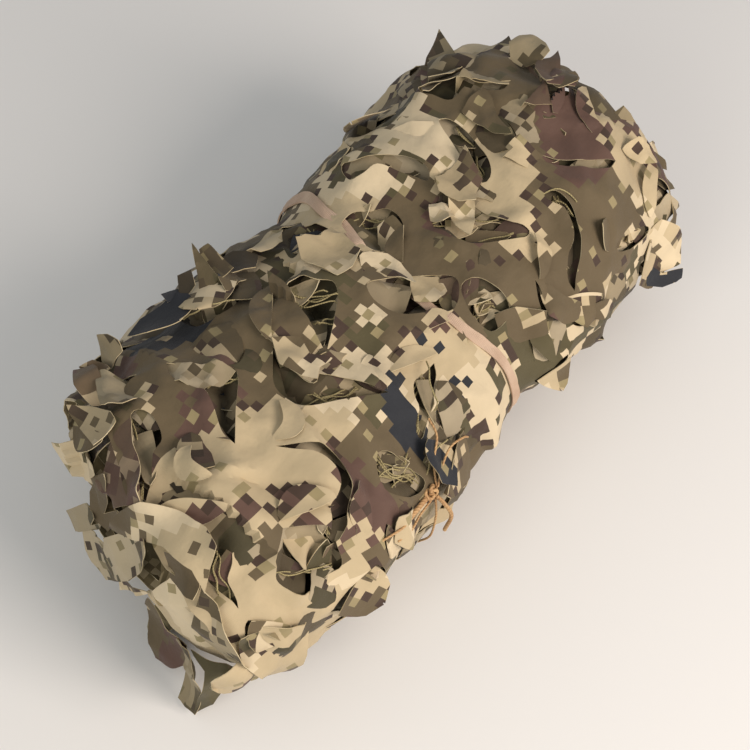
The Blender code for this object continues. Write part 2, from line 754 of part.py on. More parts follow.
def overhand_knot(steps=36, sides=8):
    """The knot as a closed string that passes through itself: a trefoil, flat on the cloth."""
    seat, flat, out = knot_frame()
    route = []
    for step in range(steps):
        angle = 2 * math.pi * step / steps
        radius = KNOT_RADIUS + KNOT_DEPTH * math.cos(3 * angle)
        way = flat(2 * angle + math.radians(KNOT_TURN))
        route.append(seat + way * radius + out * (KNOT_DEPTH * math.sin(3 * angle)))
    points, faces = [], []
    for step, point in enumerate(route):
        ahead = (route[(step + 1) % steps] - route[step - 1]).normalized()
        across = ahead.cross(point - seat).normalized()
        up = across.cross(ahead)
        for side in range(sides):
            angle = 2 * math.pi * side / sides
            points.append(point + (across * math.cos(angle) + up * math.sin(angle)) * (KNOT_STRING / 2))
    for step in range(steps):
        for side in range(sides):
            a, b = sides * step + side, sides * step + (side + 1) % sides
            c, d = sides * ((step + 1) % steps) + side, sides * ((step + 1) % steps) + (side + 1) % sides
            faces += [(a, d, b), (a, c, d)]
    return points, faces


def free_end(end):
    """The route of a free end of the string, with a point every two and a half diameters."""
    places = [roll_point(s.along, s.around, sheet_off(s.around) + SHEET / 2 + s.off)[0] for s in end.stops]
    return smooth_route([knot_lobe(end.lobe)] + places, 2.5 * STRING)


def clear_scene():
    for old in list(bpy.data.objects):
        bpy.data.objects.remove(old)


def centred(solids, routes):
    """Moves everything alike, so that the solids' box stands with its middle over the origin."""
    points = [point for made, _ in solids.values() for point in made]
    low = Vector(min(point[axis] for point in points) for axis in range(3))
    high = Vector(max(point[axis] for point in points) for axis in range(3))
    shift = Vector((-(low.x + high.x) / 2, -(low.y + high.y) / 2, -low.z))
    solids = {name: ([point + shift for point in made], faces) for name, (made, faces) in solids.items()}
    return solids, [[point + shift for point in route] for route in routes]


def main():
    clear_scene()
    khaki = cloth_material("net_cloth_khaki", (0.30, 0.24, 0.15), 0.85)
    brown = cloth_material("net_cloth_brown", (0.14, 0.10, 0.065), 0.88)
    tape = cloth_material("webbing_tan", (0.42, 0.31, 0.23), 0.8)
    string = cloth_material("string_tan", (0.50, 0.36, 0.22), 0.75)
    cuts = all_cuts()
    solids = {
        "rolled_turns": inner_turns(cuts),
        "outermost_turn": thicken(*outermost_turn(cuts)),
        "waist_tape": tape_band(),
        "tie_knot": overhand_knot(),
    }
    solids, routes = centred(solids, [free_end(end) for end in FREE_ENDS])
    for (name, (points, faces)), material in zip(solids.items(), (brown, khaki, tape, string)):
        add_object(name, points, faces, material)
    for number, route in enumerate(routes, 1):
        string_curve(f"tie_end_{number}", route, STRING, string)


main()
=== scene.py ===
# %% [markdown]
# # A camouflage net, rolled and tied
# The real thing is one long cloth with leaf cuts in it, laced to a mesh of thin cords. Somebody has rolled it
# up, pulled a flat tape round its waist and tied the loose layers at the front with a string. What the eye
# reads is cloth: crisp cut edges, leaves that curl off the roll, dark openings with cords and more cloth in
# them. So nearly all of this script makes thin sheets, each one laid out flat first, cut there, and only then
# wrapped round the roll. That is how the real net is made, and it lets the print run on through every fold.

import math
import random
from collections import namedtuple

import bmesh
import bpy
import numpy as np
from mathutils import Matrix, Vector, geometry, noise


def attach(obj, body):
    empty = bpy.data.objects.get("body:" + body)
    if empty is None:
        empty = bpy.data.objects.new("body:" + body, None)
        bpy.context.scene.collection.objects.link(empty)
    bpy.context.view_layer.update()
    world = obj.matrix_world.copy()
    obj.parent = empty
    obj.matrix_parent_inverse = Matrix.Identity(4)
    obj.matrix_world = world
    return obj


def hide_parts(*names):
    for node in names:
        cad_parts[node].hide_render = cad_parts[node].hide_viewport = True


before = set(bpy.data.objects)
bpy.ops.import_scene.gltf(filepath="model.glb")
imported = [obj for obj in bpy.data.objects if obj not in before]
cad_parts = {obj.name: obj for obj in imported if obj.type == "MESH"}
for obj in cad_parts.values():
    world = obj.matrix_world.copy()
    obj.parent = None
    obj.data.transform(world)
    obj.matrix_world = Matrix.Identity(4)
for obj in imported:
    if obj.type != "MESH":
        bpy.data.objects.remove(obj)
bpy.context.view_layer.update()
bpy.ops.object.select_all(action="DESELECT")
print("solids:", sorted(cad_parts))

# %% [markdown]
# ## The camera
# The roll is seen from above and from its near end's side, through a long lens. The camera comes first,
# because everything after it is judged through it. It aims a little off the roll's middle, so that the roll
# stands where it should in a square picture.

# %% Camera
AZIMUTH, ELEVATION = math.radians(-52.3), math.radians(53.5)
DISTANCE = 1.40
LENS = 89.0
ROLL_MIDDLE = Vector((0.0147, 0.0014, 0.0925))
AIM_RIGHT, AIM_DOWN = 0.0045, 0.0295


def aimed(thing, target):
    thing.rotation_euler = (thing.location - target).to_track_quat("Z", "Y").to_euler()


back = Vector((
    math.sin(AZIMUTH) * math.cos(ELEVATION),
    -math.cos(AZIMUTH) * math.cos(ELEVATION),
    math.sin(ELEVATION),
))
right = Vector((math.cos(AZIMUTH), math.sin(AZIMUTH), 0))
up = back.cross(right)
bpy.ops.object.camera_add(location=ROLL_MIDDLE + back * DISTANCE)
camera = bpy.context.object
camera.name = "camera"
camera.data.lens = LENS
camera.data.sensor_width = 36.0
aimed(camera, ROLL_MIDDLE + right * AIM_RIGHT - up * AIM_DOWN)
bpy.context.scene.camera = camera
print("camera at", [round(x, 3) for x in camera.location])

# %% [markdown]
# ## The roll's form
# Cloth is placed by two measures in millimetres: "along" the roll, and "around" it from the top line towards
# the front. One function turns such a place, and a height off the roll, into a point in space. The roll is an
# oval whose size changes from end to end, with a few big lumps and furrows and some small unevenness.

# %% Sizes of the roll, in millimetres
MM = 0.001
FRAME_SHIFT = np.array([14.71, 1.39, 0.0])     # from the roll's own middle to the frame's origin
HALF_WIDTH, HALF_HEIGHT, CENTRE_HEIGHT = 126.0, 92.0, 92.5
SHEET_OFF = 4.2
SHEET_START, LAP, LAP_STEP, LAP_RISE, LAP_EARLY = -270.0, 30.0, 5.0, 40.0, 46.0
UNEVEN, UNEVEN_SIZE = 4.2, 50.0
END_SWAY, SWAY_SIZE = 5.0, 60.0

Section = namedtuple("Section", "along wide high drift")
SECTIONS = [Section(*row) for row in (
    (-285, 0.70, 0.68, 0),
    (-262, 0.82, 0.81, 0),
    (-240, 0.90, 0.91, 0),
    (-205, 0.97, 0.98, 0),
    (-140, 1.02, 1.01, 0),
    (-70, 1.00, 1.00, 2),
    (-15, 0.95, 0.95, 1),
    (26, 0.87, 0.86, 0),
    (70, 0.96, 0.96, -1),
    (120, 1.01, 1.01, -2),
    (190, 1.02, 1.00, 0),
    (235, 0.93, 0.92, 2),
    (268, 0.78, 0.76, 2),
)]
Reach = namedtuple("Reach", "around near far")
REACHES = [Reach(*row) for row in (
    (-300, 210, 236),
    (-220, 198, 234),
    (-120, 198, 234),
    (-60, 220, 244),
    (0, 250, 248),
    (60, 266, 252),
    (100, 276, 255),
    (150, 276, 254),
    (190, 266, 244),
    (260, 246, 238),
    (358, 234, 238),
    (450, 224, 238),
)]
Lump = namedtuple("Lump", "along around long broad turn height")
LUMPS = [Lump(*row) for row in (
    (-190, -40, 60, 40, 20, 7),
    (-120, 30, 90, 30, 35, -6),
    (-150, 110, 60, 35, 10, 7),
    (-75, -90, 50, 40, 120, 6),
    (-30, 40, 60, 26, 140, -5),
    (85, -75, 60, 36, 15, 8),
    (95, 30, 80, 26, 40, -6),
    (150, 75, 60, 40, 150, 7),
    (205, -20, 50, 40, 80, 6),
    (-215, 60, 40, 30, 100, 6),
    (-120, -190, 90, 45, 0, 8),
    (110, -200, 90, 45, 10, 8),
    (0, -240, 60, 30, 90, -5),
    (-60, 190, 80, 34, 170, 6),
    (100, 180, 70, 34, 20, 5),
    (200, 150, 50, 30, 60, -5),
)]
print(len(SECTIONS), "sections and", len(LUMPS), "lumps")

# %% Places on the roll
ARC_STEPS = 720


def smooth(share):
    """0 to 1 with no kink at either end."""
    share = np.clip(share, 0.0, 1.0)
    return share * share * (3 - 2 * share)


def columns_at(rows, place):
    """The other columns of a table at places in its first column, with no kink between rows."""
    table = np.array(rows, float)
    place = np.clip(place, table[0, 0], table[-1, 0])
    low = np.clip(np.searchsorted(table[:, 0], place, side="right") - 1, 0, len(table) - 2)
    share = smooth((place - table[low, 0]) / (table[low + 1, 0] - table[low, 0]))
    return [table[low, c] + (table[low + 1, c] - table[low, c]) * share for c in range(1, table.shape[1])]


quarter = 2 * math.pi * (np.arange(ARC_STEPS) + 0.5) / ARC_STEPS
steps_round = np.hypot(HALF_WIDTH * np.cos(quarter), HALF_HEIGHT * np.sin(quarter)) * 2 * math.pi / ARC_STEPS
ARCS = np.concatenate([[0.0], np.cumsum(steps_round)])
GIRTH = float(ARCS[-1])
SHEET_STOP = SHEET_START + GIRTH + LAP


def angle_at(around):
    """The oval's angle, from the top, at that way round it."""
    turns = np.floor(around / GIRTH)
    share = np.interp(around - turns * GIRTH, ARCS, np.arange(ARC_STEPS + 1) / ARC_STEPS)
    return 2 * math.pi * (turns + share)


def apart(around, other):
    """The short way round from one place to another, with its sign."""
    return (around - other + GIRTH / 2) % GIRTH - GIRTH / 2


def noise_at(*columns):
    """Blender's own smooth noise, -1 to 1, at many points."""
    columns = np.broadcast_arrays(*[np.asarray(column, float) for column in columns])
    flat = np.stack([column.ravel() for column in columns], axis=1)
    return np.array([noise.noise(Vector(row)) for row in flat]).reshape(columns[0].shape)


def bump_at(lump, along, around):
    """A soft oval hill, 0 to 1, long in its own direction."""
    x, y = along - lump.along, apart(around, lump.around)
    turn = math.radians(lump.turn)
    run = (x * math.cos(turn) + y * math.sin(turn)) / lump.long
    cross = (y * math.cos(turn) - x * math.sin(turn)) / lump.broad
    return np.exp(-run * run - cross * cross)


def lumpiness(along, around):
    height = sum(lump.height * bump_at(lump, along, around) for lump in LUMPS)
    angle = angle_at(around)
    across, high = HALF_WIDTH * np.sin(angle), HALF_HEIGHT * np.cos(angle)
    return height + UNEVEN * noise_at(along / UNEVEN_SIZE, across / UNEVEN_SIZE, high / UNEVEN_SIZE)


def on_roll(along, around, off):
    """(points, outward directions) in metres, for places on the cloth and their height off the winding."""
    along, around, off = [np.asarray(x, float) for x in np.broadcast_arrays(along, around, off)]
    wide, high, drift = columns_at(SECTIONS, along)
    angle = angle_at(around)
    across, rise = HALF_WIDTH * wide, HALF_HEIGHT * high
    out = np.stack([np.zeros_like(angle), -np.sin(angle) / across, np.cos(angle) / rise], axis=-1)
    out /= np.linalg.norm(out, axis=-1, keepdims=True)
    middle = np.stack([along, drift - across * np.sin(angle), CENTRE_HEIGHT + rise * np.cos(angle)], axis=-1)
    points = middle + out * (lumpiness(along, around) + off)[..., None] + FRAME_SHIFT
    return points * MM, out


def reach(end, around):
    near_end, far_end = columns_at(REACHES, around)
    return far_end if end > 0 else -near_end


def sheet_off(around):
    """The outermost turn's height off the winding: its last stretch rises over its own start."""
    return SHEET_OFF + LAP_STEP * smooth((np.asarray(around) - (SHEET_STOP - LAP - LAP_EARLY)) / LAP_RISE)


print("girth", round(GIRTH, 1), "mm")

# %% [markdown]
# ## The string's free ends
# The string is the only cord that lies free. It leaves the knot at two of the knot's lobes. Each end is one
# smooth curve with a round section, because a thin limp string has no facets to show.

# %% Knot and cord sizes, in millimetres
SHEET = 1.5
STRING = 3.0
KNOT_ALONG, KNOT_AROUND = -98.0, 146.0
KNOT_STRING, KNOT_RADIUS, KNOT_DEPTH, KNOT_GAP, KNOT_TURN = 2.6, 3.4, 1.75, 0.3, 55.0
FreeEnd = namedtuple("FreeEnd", "lobe stops")
Stop = namedtuple("Stop", "along around off")
FREE_ENDS = [
    FreeEnd(2, [Stop(-92, 160, 5.5), Stop(-89, 173, 8.0), Stop(-90, 192, 6.0)]),
    FreeEnd(1, [Stop(-112, 144.5, 3.4), Stop(-126, 144, 2.6), Stop(-140, 148, 2.2)]),
]
print("string of", STRING, "mm with", len(FREE_ENDS), "free ends")

# %% Free ends of the string
CORD_SIDES = 5
TUBE_SHARP = 60
ROUTE_STEP = 0.002


def place_of(stop):
    point, _ = on_roll(stop.along, stop.around, sheet_off(stop.around) + SHEET / 2 + stop.off)
    return Vector(point)


def knot_frame():
    """(seat, flat, out): the knot's middle, the directions that lie flat on the cloth, and the way off it."""
    off = sheet_off(KNOT_AROUND) + SHEET / 2 + KNOT_GAP + KNOT_DEPTH + STRING / 2
    seat, out = [Vector(x) for x in on_roll(KNOT_ALONG, KNOT_AROUND, off)]
    first = Vector((1, 0, 0))
    second = out.cross(first).normalized()
    return seat, lambda angle: first * math.cos(angle) + second * math.sin(angle), out


def knot_lobe(number):
    seat, flat, _ = knot_frame()
    angle = math.radians(KNOT_TURN + 120 * number)
    return seat + flat(angle) * (KNOT_RADIUS + KNOT_DEPTH + KNOT_STRING / 2 + KNOT_GAP) * MM


def smooth_route(stops, spacing):
    """Evenly spaced points on a smooth curve through the stops."""
    dense = []
    padded = [stops[0] * 2 - stops[1], *stops, stops[-1] * 2 - stops[-2]]
    for a, b, c, d in zip(padded, padded[1:], padded[2:], padded[3:]):
        for step in range(16):
            t = step / 16
            bend, twist = 2 * a - 5 * b + 4 * c - d, 3 * b - a - 3 * c + d
            dense.append(0.5 * (2 * b + (c - a) * t + bend * t ** 2 + twist * t ** 3))
    dense.append(stops[-1])
    route, left = [dense[0]], spacing
    for low, high in zip(dense, dense[1:]):
        length = (high - low).length
        while length > left:
            low = low + (high - low) * (left / length)
            route.append(low)
            length = (high - low).length
            left = spacing
        left -= length
    route.append(dense[-1])
    return route


def route_length(route):
    return sum((high - low).length for low, high in zip(route, route[1:]))


def tube(route, thick, sides=CORD_SIDES):
    """Points, faces, flat coordinates and end caps of a thin tube along a route, in metres."""
    route = np.asarray(route, float)
    ahead = np.gradient(route, axis=0)
    ahead /= np.linalg.norm(ahead, axis=1, keepdims=True)
    across = np.cross(ahead, (0.31, 0.17, 0.94))
    across /= np.linalg.norm(across, axis=1, keepdims=True)
    up = np.cross(across, ahead)
    turn = 2 * math.pi * np.arange(sides) / sides
    ring = across[:, None] * np.cos(turn)[None, :, None] + up[:, None] * np.sin(turn)[None, :, None]
    points = route[:, None] + ring * (thick / 2)
    ids = np.arange(len(route) * sides).reshape(len(route), sides)
    beside = np.roll(ids, -1, 1)
    faces = np.stack([ids[:-1], beside[:-1], beside[1:], ids[1:]], axis=-1).reshape(-1, 4)
    way = np.concatenate([[0], np.cumsum(np.linalg.norm(np.diff(route, axis=0), axis=1))])
    flat = np.stack(np.broadcast_arrays(turn[None] * thick / 2, way[:, None]), axis=-1)
    return points.reshape(-1, 3), faces, flat.reshape(-1, 2), [ids[0][::-1].tolist(), ids[-1].tolist()]


def flat_mesh(name, points, faces, flat):
    """A new mesh whose UV map holds the flat coordinates of its points."""
    mesh = bpy.data.meshes.new(name)
    mesh.from_pydata(points.tolist(), [], faces)
    corners = np.empty(len(mesh.loops), np.int32)
    mesh.loops.foreach_get("vertex_index", corners)
    mesh.uv_layers.new(name="UVMap").data.foreach_set("uv", flat[corners].ravel())
    return mesh


def linked(name, mesh):
    shown = bpy.data.objects.new(name, mesh)
    bpy.context.scene.collection.objects.link(shown)
    return shown


def tubes_object(name, tubes, finish=None):
    """One object from many tubes, each with closed ends."""
    points, faces, flats, first = [], [], [], 0
    for made, quads, flat, caps in tubes:
        points.append(made)
        flats.append(flat)
        faces += (quads + first).tolist() + [[first + i for i in cap] for cap in caps]
        first += len(made)
    mesh = flat_mesh(name, np.concatenate(points), faces, np.concatenate(flats))
    if finish:
        mesh.materials.append(finish)
    mesh.shade_smooth()
    mesh.set_sharp_from_angle(angle=math.radians(TUBE_SHARP))
    work = bmesh.new()
    work.from_mesh(mesh)
    bmesh.ops.recalc_face_normals(work, faces=work.faces[:])
    work.to_mesh(mesh)
    work.free()
    shown = linked(name, mesh)
    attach(shown, "root")
    print(name, "has", len(tubes), "strands and", len(faces), "faces")
    return shown


free_ends = []
for number, end in enumerate(FREE_ENDS, 1):
    route = smooth_route([knot_lobe(end.lobe)] + [place_of(stop) for stop in end.stops], ROUTE_STEP)
    piece = tubes_object(f"string_end_{number}", [tube(route, STRING * MM, sides=16)])
    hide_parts(f"tie_end_{number}")
    free_ends.append(piece)
    print(piece.name, "is", round(route_length(route) * 1000, 1), "mm long")

# %% [markdown]
# ## Floor and light
# A product like this is shown on a plain pale floor. The light that models the cloth is a warm window at
# the roll's front, low enough to rake over the folds. A weaker window faces the near end, and a pale sky
# fills the shadows.

# %% Floor and light
def sun_side(azimuth, elevation):
    """A direction away from the roll, by the same two angles as the camera's."""
    azimuth, elevation = math.radians(azimuth), math.radians(elevation)
    level = Vector((math.sin(azimuth), -math.cos(azimuth), 0)) * math.cos(elevation)
    return level + Vector((0, 0, math.sin(elevation)))


def add_window(name, azimuth, elevation, distance, size, power, tint):
    bpy.ops.object.light_add(type="AREA", location=ROLL_MIDDLE + sun_side(azimuth, elevation) * distance)
    lamp = bpy.context.object
    lamp.name = name
    lamp.data.size = size
    lamp.data.energy = power
    lamp.data.color = tint
    aimed(lamp, ROLL_MIDDLE)
    return lamp


bpy.ops.mesh.primitive_plane_add(size=6.0, location=(0, 0, -0.0004))
floor = bpy.context.object
floor.name = "floor"
floor_finish = bpy.data.materials.new("pale_floor")
floor_finish.use_nodes = True
floor_surface = floor_finish.node_tree.nodes["Principled BSDF"].inputs
floor_surface["Base Color"].default_value = (0.80, 0.80, 0.79, 1)
floor_surface["Roughness"].default_value = 0.9
floor.data.materials.append(floor_finish)

add_window("front_window", 2, 32, 2.2, 1.0, 44, (1.0, 0.88, 0.79))
add_window("left_window", -82, 34, 2.0, 1.0, 11, (1.0, 0.94, 0.84))
sky = bpy.data.worlds.new("pale_sky")
sky.use_nodes = True
sky_light = sky.node_tree.nodes["Background"].inputs
sky_light["Color"].default_value = (0.96, 0.98, 1.0, 1)
sky_light["Strength"].default_value = 0.39
bpy.context.scene.world = sky
bpy.context.scene.view_settings.view_transform = "Standard"

# %% [markdown]
# ## The printed cloth
# The cloth is printed in squares of about 7 mm, some of them in blocks of two by two: tan and brown with
# stepped borders, loose squares near them, and a few areas where the dark squares are maroon or nearly black.
# Snapping the cloth's own flat coordinates to the squares before they reach the noise gives every square one
# colour, so the borders step by themselves. The layout is made up here, and a broad zone only says where one
# colour wins. Each vertex also carries a "tone", so a leaf cut from another part of the cloth can be plainly
# tan, brown or olive, and cloth seen down in the holes can be dimmed, as painted shade.

# %% Node helpers
def colour(red, green, blue):
    """A colour as it is picked on a screen, 0 to 255, in Blender's linear values."""
    shares = [value / 255 for value in (red, green, blue)]
    return (*[s / 12.92 if s <= 0.04045 else ((s + 0.055) / 1.055) ** 2.4 for s in shares], 1.0)


def add_node(tree, kind, inputs, **settings):
    """A shader node with its settings made and its inputs linked or set; returns its outputs."""
    made = tree.nodes.new("ShaderNode" + kind)
    for name, value in settings.items():
        setattr(made, name, value)
    for place, value in inputs.items():
        if isinstance(value, bpy.types.NodeSocket):
            tree.links.new(value, made.inputs[place])
        else:
            made.inputs[place].default_value = value
    return made.outputs


def calc(tree, operation, *values):
    return add_node(tree, "Math", dict(enumerate(values)), operation=operation)[0]


def grain(tree, spot, size, detail=1.0):
    """Noise about zero, with features about that size in metres."""
    found = add_node(tree, "TexNoise", {"Vector": spot, "Scale": 1 / size, "Detail": detail})
    return calc(tree, "SUBTRACT", found["Fac"], 0.5)


def mixed(tree, share, first, second, blend="MIX"):
    """Two colours mixed by a share."""
    made = tree.nodes.new("ShaderNodeMix")
    made.data_type = "RGBA"
    made.blend_type = blend
    for place, value in ((0, share), (6, first), (7, second)):
        if isinstance(value, bpy.types.NodeSocket):
            tree.links.new(value, made.inputs[place])
        else:
            made.inputs[place].default_value = value
    return made.outputs[2]


# %% Print of the cloth
SQUARE = 0.0068
BORDER_SIZE, CLUSTER_SIZE, HUE_SIZE = 0.085, 0.026, 0.100
CLUSTER_SHARE, LOOSE_SHARE, BLOCK_SHARE = 0.30, 0.24, 0.20
HUE_SHIFT, HUE_LOOSE = (3.1, 1.7, 0), 0.05
# The limits of the value, the hue and the stray squares at which the print changes its colour
LIGHT_FROM, BORDER_FROM = 0.0, -0.030
CREAM_BELOW, MAROON_FROM, OLIVE_BELOW, NAVY_FROM = 0.0, 0.14, -0.075, 0.5
KHAKI_FROM = 0.955
TAN, CREAM, KHAKI = colour(184, 167, 134), colour(203, 187, 156), colour(148, 135, 99)
BROWN, OLIVE, MAROON = colour(97, 84, 61), colour(82, 75, 50), colour(92, 69, 59)
NAVY, DARK = colour(35, 38, 44), colour(66, 50, 40)
Zone = namedtuple("Zone", "along around long broad shift")
PRINT_ZONES = [Zone(*row) for row in (
    (-225, 60, 70, 70, 0.12),
    (-150, 50, 45, 40, 0.07),
    (-230, 150, 60, 50, 0.15),
    (-30, 100, 40, 50, 0.10),
    (112, 5, 34, 60, 0.16),
    (-10, -62, 60, 40, 0.13),
    (132, -72, 34, 26, 0.14),
    (92, 138, 30, 26, 0.12),
    (-8, 84, 22, 40, 0.10),
    (-40, 100, 40, 40, 0.10),
    (-112, 84, 50, 32, -0.20),
    (-90, -50, 60, 34, -0.18),
    (-55, 14, 44, 44, -0.18),
    (38, 56, 34, 90, -0.22),
    (-190, -40, 50, 50, -0.18),
    (160, 105, 46, 60, -0.20),
    (175, -20, 60, 70, -0.17),
    (-160, 130, 40, 34, -0.17),
    (70, -10, 34, 40, -0.16),
    (150, 62, 40, 34, -0.14),
    (205, -10, 50, 90, -0.13),
    (-112, -92, 50, 40, -0.25),
    (222, 42, 24, 28, 0.18),
    (206, 90, 24, 36, 0.26),
    (-60, 92, 34, 36, 0.04),
)]
ZONE_RIM, ZONE_CORE = 1.25, 0.45
NIGHT_MIXING, NIGHT_BREADTH = 1.1, -0.7
MAROON_TINT, OLIVE_TINT = -0.6, 0.55
MAROON_ZONES = [Zone(-195, 40, 80, 90, 0.14), Zone(205, 40, 44, 70, 0.12)]
NIGHT_ZONES = [Zone(-50, 100, 54, 44, 1), Zone(-112, -92, 50, 40, 1), Zone(180, 200, 60, 40, 1)]


def zone_share(tree, cell, zone):
    """1 in the middle of a broad oval zone of the cloth, 0 outside it."""
    middle, size = (zone.along * MM, zone.around * MM, 0), (zone.long * MM, zone.broad * MM, 1)
    away = add_node(tree, "VectorMath", {0: cell, 1: middle}, operation="SUBTRACT")[0]
    away = add_node(tree, "VectorMath", {0: away, 1: size}, operation="DIVIDE")[0]
    away = add_node(tree, "VectorMath", {0: away}, operation="LENGTH")["Value"]
    limits = {"Value": away, "From Min": ZONE_RIM, "From Max": ZONE_CORE}
    return add_node(tree, "MapRange", limits, interpolation_type="SMOOTHSTEP")[0]


def square_of(tree, spot, size):
    """The corner of the square that a flat place lies in, the same all over the square."""
    return add_node(tree, "VectorMath", {0: spot, 1: (size, size, 1)}, operation="SNAP")[0]


def square_dice(tree, cell):
    return add_node(tree, "TexWhiteNoise", {"Vector": cell}, noise_dimensions="2D")["Value"]


def strays(tree, loose):
    """Mostly near 0, and near -1 or 1 for a few squares, which then stand alone in the other colour."""
    return calc(tree, "POWER", calc(tree, "MULTIPLY_ADD", loose, 2.0, -1.0), 5.0)


def printed_colour(tree, spot, tone):
    """The print at a flat place. tone is how light, how near to black and how olive the cloth is here."""
    cell = square_of(tree, spot, SQUARE)
    loose = square_dice(tree, cell)
    night = tone["Green"]
    for zone in NIGHT_ZONES:
        night = calc(tree, "ADD", night, zone_share(tree, cell, zone))
    mixing = calc(tree, "MULTIPLY_ADD", night, NIGHT_MIXING, CLUSTER_SHARE)
    cluster = calc(tree, "MULTIPLY", grain(tree, cell, CLUSTER_SIZE), mixing)
    broad = grain(tree, cell, BORDER_SIZE)
    broad = calc(tree, "MULTIPLY", broad, calc(tree, "MULTIPLY_ADD", night, NIGHT_BREADTH, 1.0))
    value = calc(tree, "ADD", broad, cluster)
    value = calc(tree, "MULTIPLY_ADD", strays(tree, loose), LOOSE_SHARE, value)
    block = square_dice(tree, square_of(tree, spot, 2 * SQUARE))
    value = calc(tree, "MULTIPLY_ADD", strays(tree, block), BLOCK_SHARE, value)
    for zone in PRINT_ZONES:
        value = calc(tree, "MULTIPLY_ADD", zone_share(tree, cell, zone), zone.shift, value)
    value = calc(tree, "ADD", value, tone["Red"])
    shifted = add_node(tree, "VectorMath", {0: cell, 1: HUE_SHIFT}, operation="ADD")[0]
    hue = calc(tree, "MULTIPLY_ADD", loose, HUE_LOOSE, grain(tree, shifted, HUE_SIZE))
    for zone in MAROON_ZONES:
        hue = calc(tree, "MULTIPLY_ADD", zone_share(tree, cell, zone), zone.shift, hue)
    dark = mixed(tree, calc(tree, "GREATER_THAN", hue, MAROON_FROM), BROWN, MAROON)
    dark = mixed(tree, calc(tree, "LESS_THAN", hue, OLIVE_BELOW), dark, OLIVE)
    dark = mixed(tree, calc(tree, "GREATER_THAN", value, BORDER_FROM), dark, DARK)
    dark = mixed(tree, calc(tree, "GREATER_THAN", calc(tree, "ADD", night, hue), NAVY_FROM), dark, NAVY)
    light = mixed(tree, calc(tree, "LESS_THAN", hue, CREAM_BELOW), TAN, CREAM)
    light = mixed(tree, calc(tree, "GREATER_THAN", loose, KHAKI_FROM), light, KHAKI)
    chosen = mixed(tree, calc(tree, "GREATER_THAN", value, LIGHT_FROM), dark, light)
    chosen = mixed(tree, calc(tree, "MULTIPLY", tone["Blue"], MAROON_TINT), chosen, MAROON)
    return mixed(tree, calc(tree, "MULTIPLY", tone["Blue"], OLIVE_TINT), chosen, OLIVE)


print("squares of", SQUARE * 1000, "mm, and", len(PRINT_ZONES), "zones where one colour wins")

# %% [markdown]
# A woven surface needs more than its print: threads that cross, a slight blotchiness from handling, and small
# wrinkles too fine for the mesh. The blotch is also scaled by each tone's brightness, and where a tone is
# dimmed that is painted shade. The wrong side shows the print only faintly, through a paler ground. The cut
# edge is a third finish, because bare thread ends catch the light as a pale line.

# %% Woven finishes
THREAD = 0.0007
WRINKLE_SIZE = 0.011
WAVE_UNIT = 0.314      # a wave texture of scale 1 repeats after this length


def stripes(tree, spot, size, uneven, axis, detail=2.0):
    """Soft stripes that repeat after that size, in metres, in the direction of one flat axis."""
    inputs = {"Vector": spot, "Scale": WAVE_UNIT / size, "Distortion": uneven, "Detail": detail}
    return add_node(tree, "TexWave", inputs, bands_direction=axis)["Fac"]


def weave_bump(tree, spot, strength=0.35):
    """Crossed threads and small wrinkles, as a normal."""
    run, cross = [stripes(tree, spot, THREAD, 0.6, axis, 1.0) for axis in ("X", "Y")]
    height = calc(tree, "ADD", run, cross)
    fine = add_node(tree, "Bump", {"Height": height, "Strength": strength, "Distance": 0.0002})[0]
    wrinkles = grain(tree, spot, WRINKLE_SIZE, 3.0)
    inputs = {"Height": wrinkles, "Strength": 0.5, "Distance": 0.0022, "Normal": fine}
    return add_node(tree, "Bump", inputs)[0]


def new_finish(name):
    finish = bpy.data.materials.new(name)
    finish.use_nodes = True
    return finish, finish.node_tree, finish.node_tree.nodes["Principled BSDF"].inputs


def cloth_finish(name, wrong_side):
    finish, tree, surface = new_finish(name)
    spot = add_node(tree, "UVMap", {}, uv_map="UVMap")[0]
    tone_node = add_node(tree, "Attribute", {}, attribute_name="tone")
    tone = add_node(tree, "SeparateColor", {0: tone_node["Color"]})
    painted = printed_colour(tree, spot, tone)
    if wrong_side:
        painted = mixed(tree, 0.42, painted, colour(168, 152, 112))
    # Handling blotches, times the tone's brightness, which is painted shade for the dimmed tones of cloth in
    # the holes
    blotch_and_shade = calc(tree, "MULTIPLY_ADD", grain(tree, spot, 0.045, 3.0), 0.50, tone_node["Alpha"])
    grey = add_node(tree, "CombineColor", {0: blotch_and_shade, 1: blotch_and_shade, 2: blotch_and_shade})[0]
    painted = mixed(tree, 1.0, painted, grey, "MULTIPLY")
    tree.links.new(painted, surface["Base Color"])
    tree.links.new(weave_bump(tree, spot), surface["Normal"])
    surface["Roughness"].default_value = 0.72
    surface["Sheen Weight"].default_value = 0.08
    surface["Sheen Roughness"].default_value = 0.5
    surface["Specular IOR Level"].default_value = 0.35
    return finish


def plain_finish(name, pale, deep, size, roughness=0.8):
    """A finish with soft variation between two colours, on the piece's own flat coordinates."""
    finish, tree, surface = new_finish(name)
    spot = add_node(tree, "UVMap", {}, uv_map="UVMap")[0]
    share = calc(tree, "MULTIPLY_ADD", grain(tree, spot, size, 2.0), 2.2, 0.5)
    tree.links.new(mixed(tree, share, deep, pale), surface["Base Color"])
    tree.links.new(weave_bump(tree, spot, 0.5), surface["Normal"])
    surface["Roughness"].default_value = roughness
    return finish


printed_cloth = cloth_finish("printed_cloth", wrong_side=False)
cloth_wrong_side = cloth_finish("cloth_wrong_side", wrong_side=True)
cut_edge = plain_finish("cut_edge", colour(214, 200, 166), colour(166, 148, 110), 0.012)
print("finishes:", [finish.name for finish in bpy.data.materials])

# %% [markdown]
# ## Cutting cloth flat
# A piece of cloth starts as a flat outline. A few stops are enough for one, with a smooth line drawn through
# them and a corner where the stop says so. The flat piece is filled with evenly spaced points and joined by
# Delaunay triangles, which keep to the cut edges. Such a mesh bends well in any direction, where a grid would
# bend only along its rows.

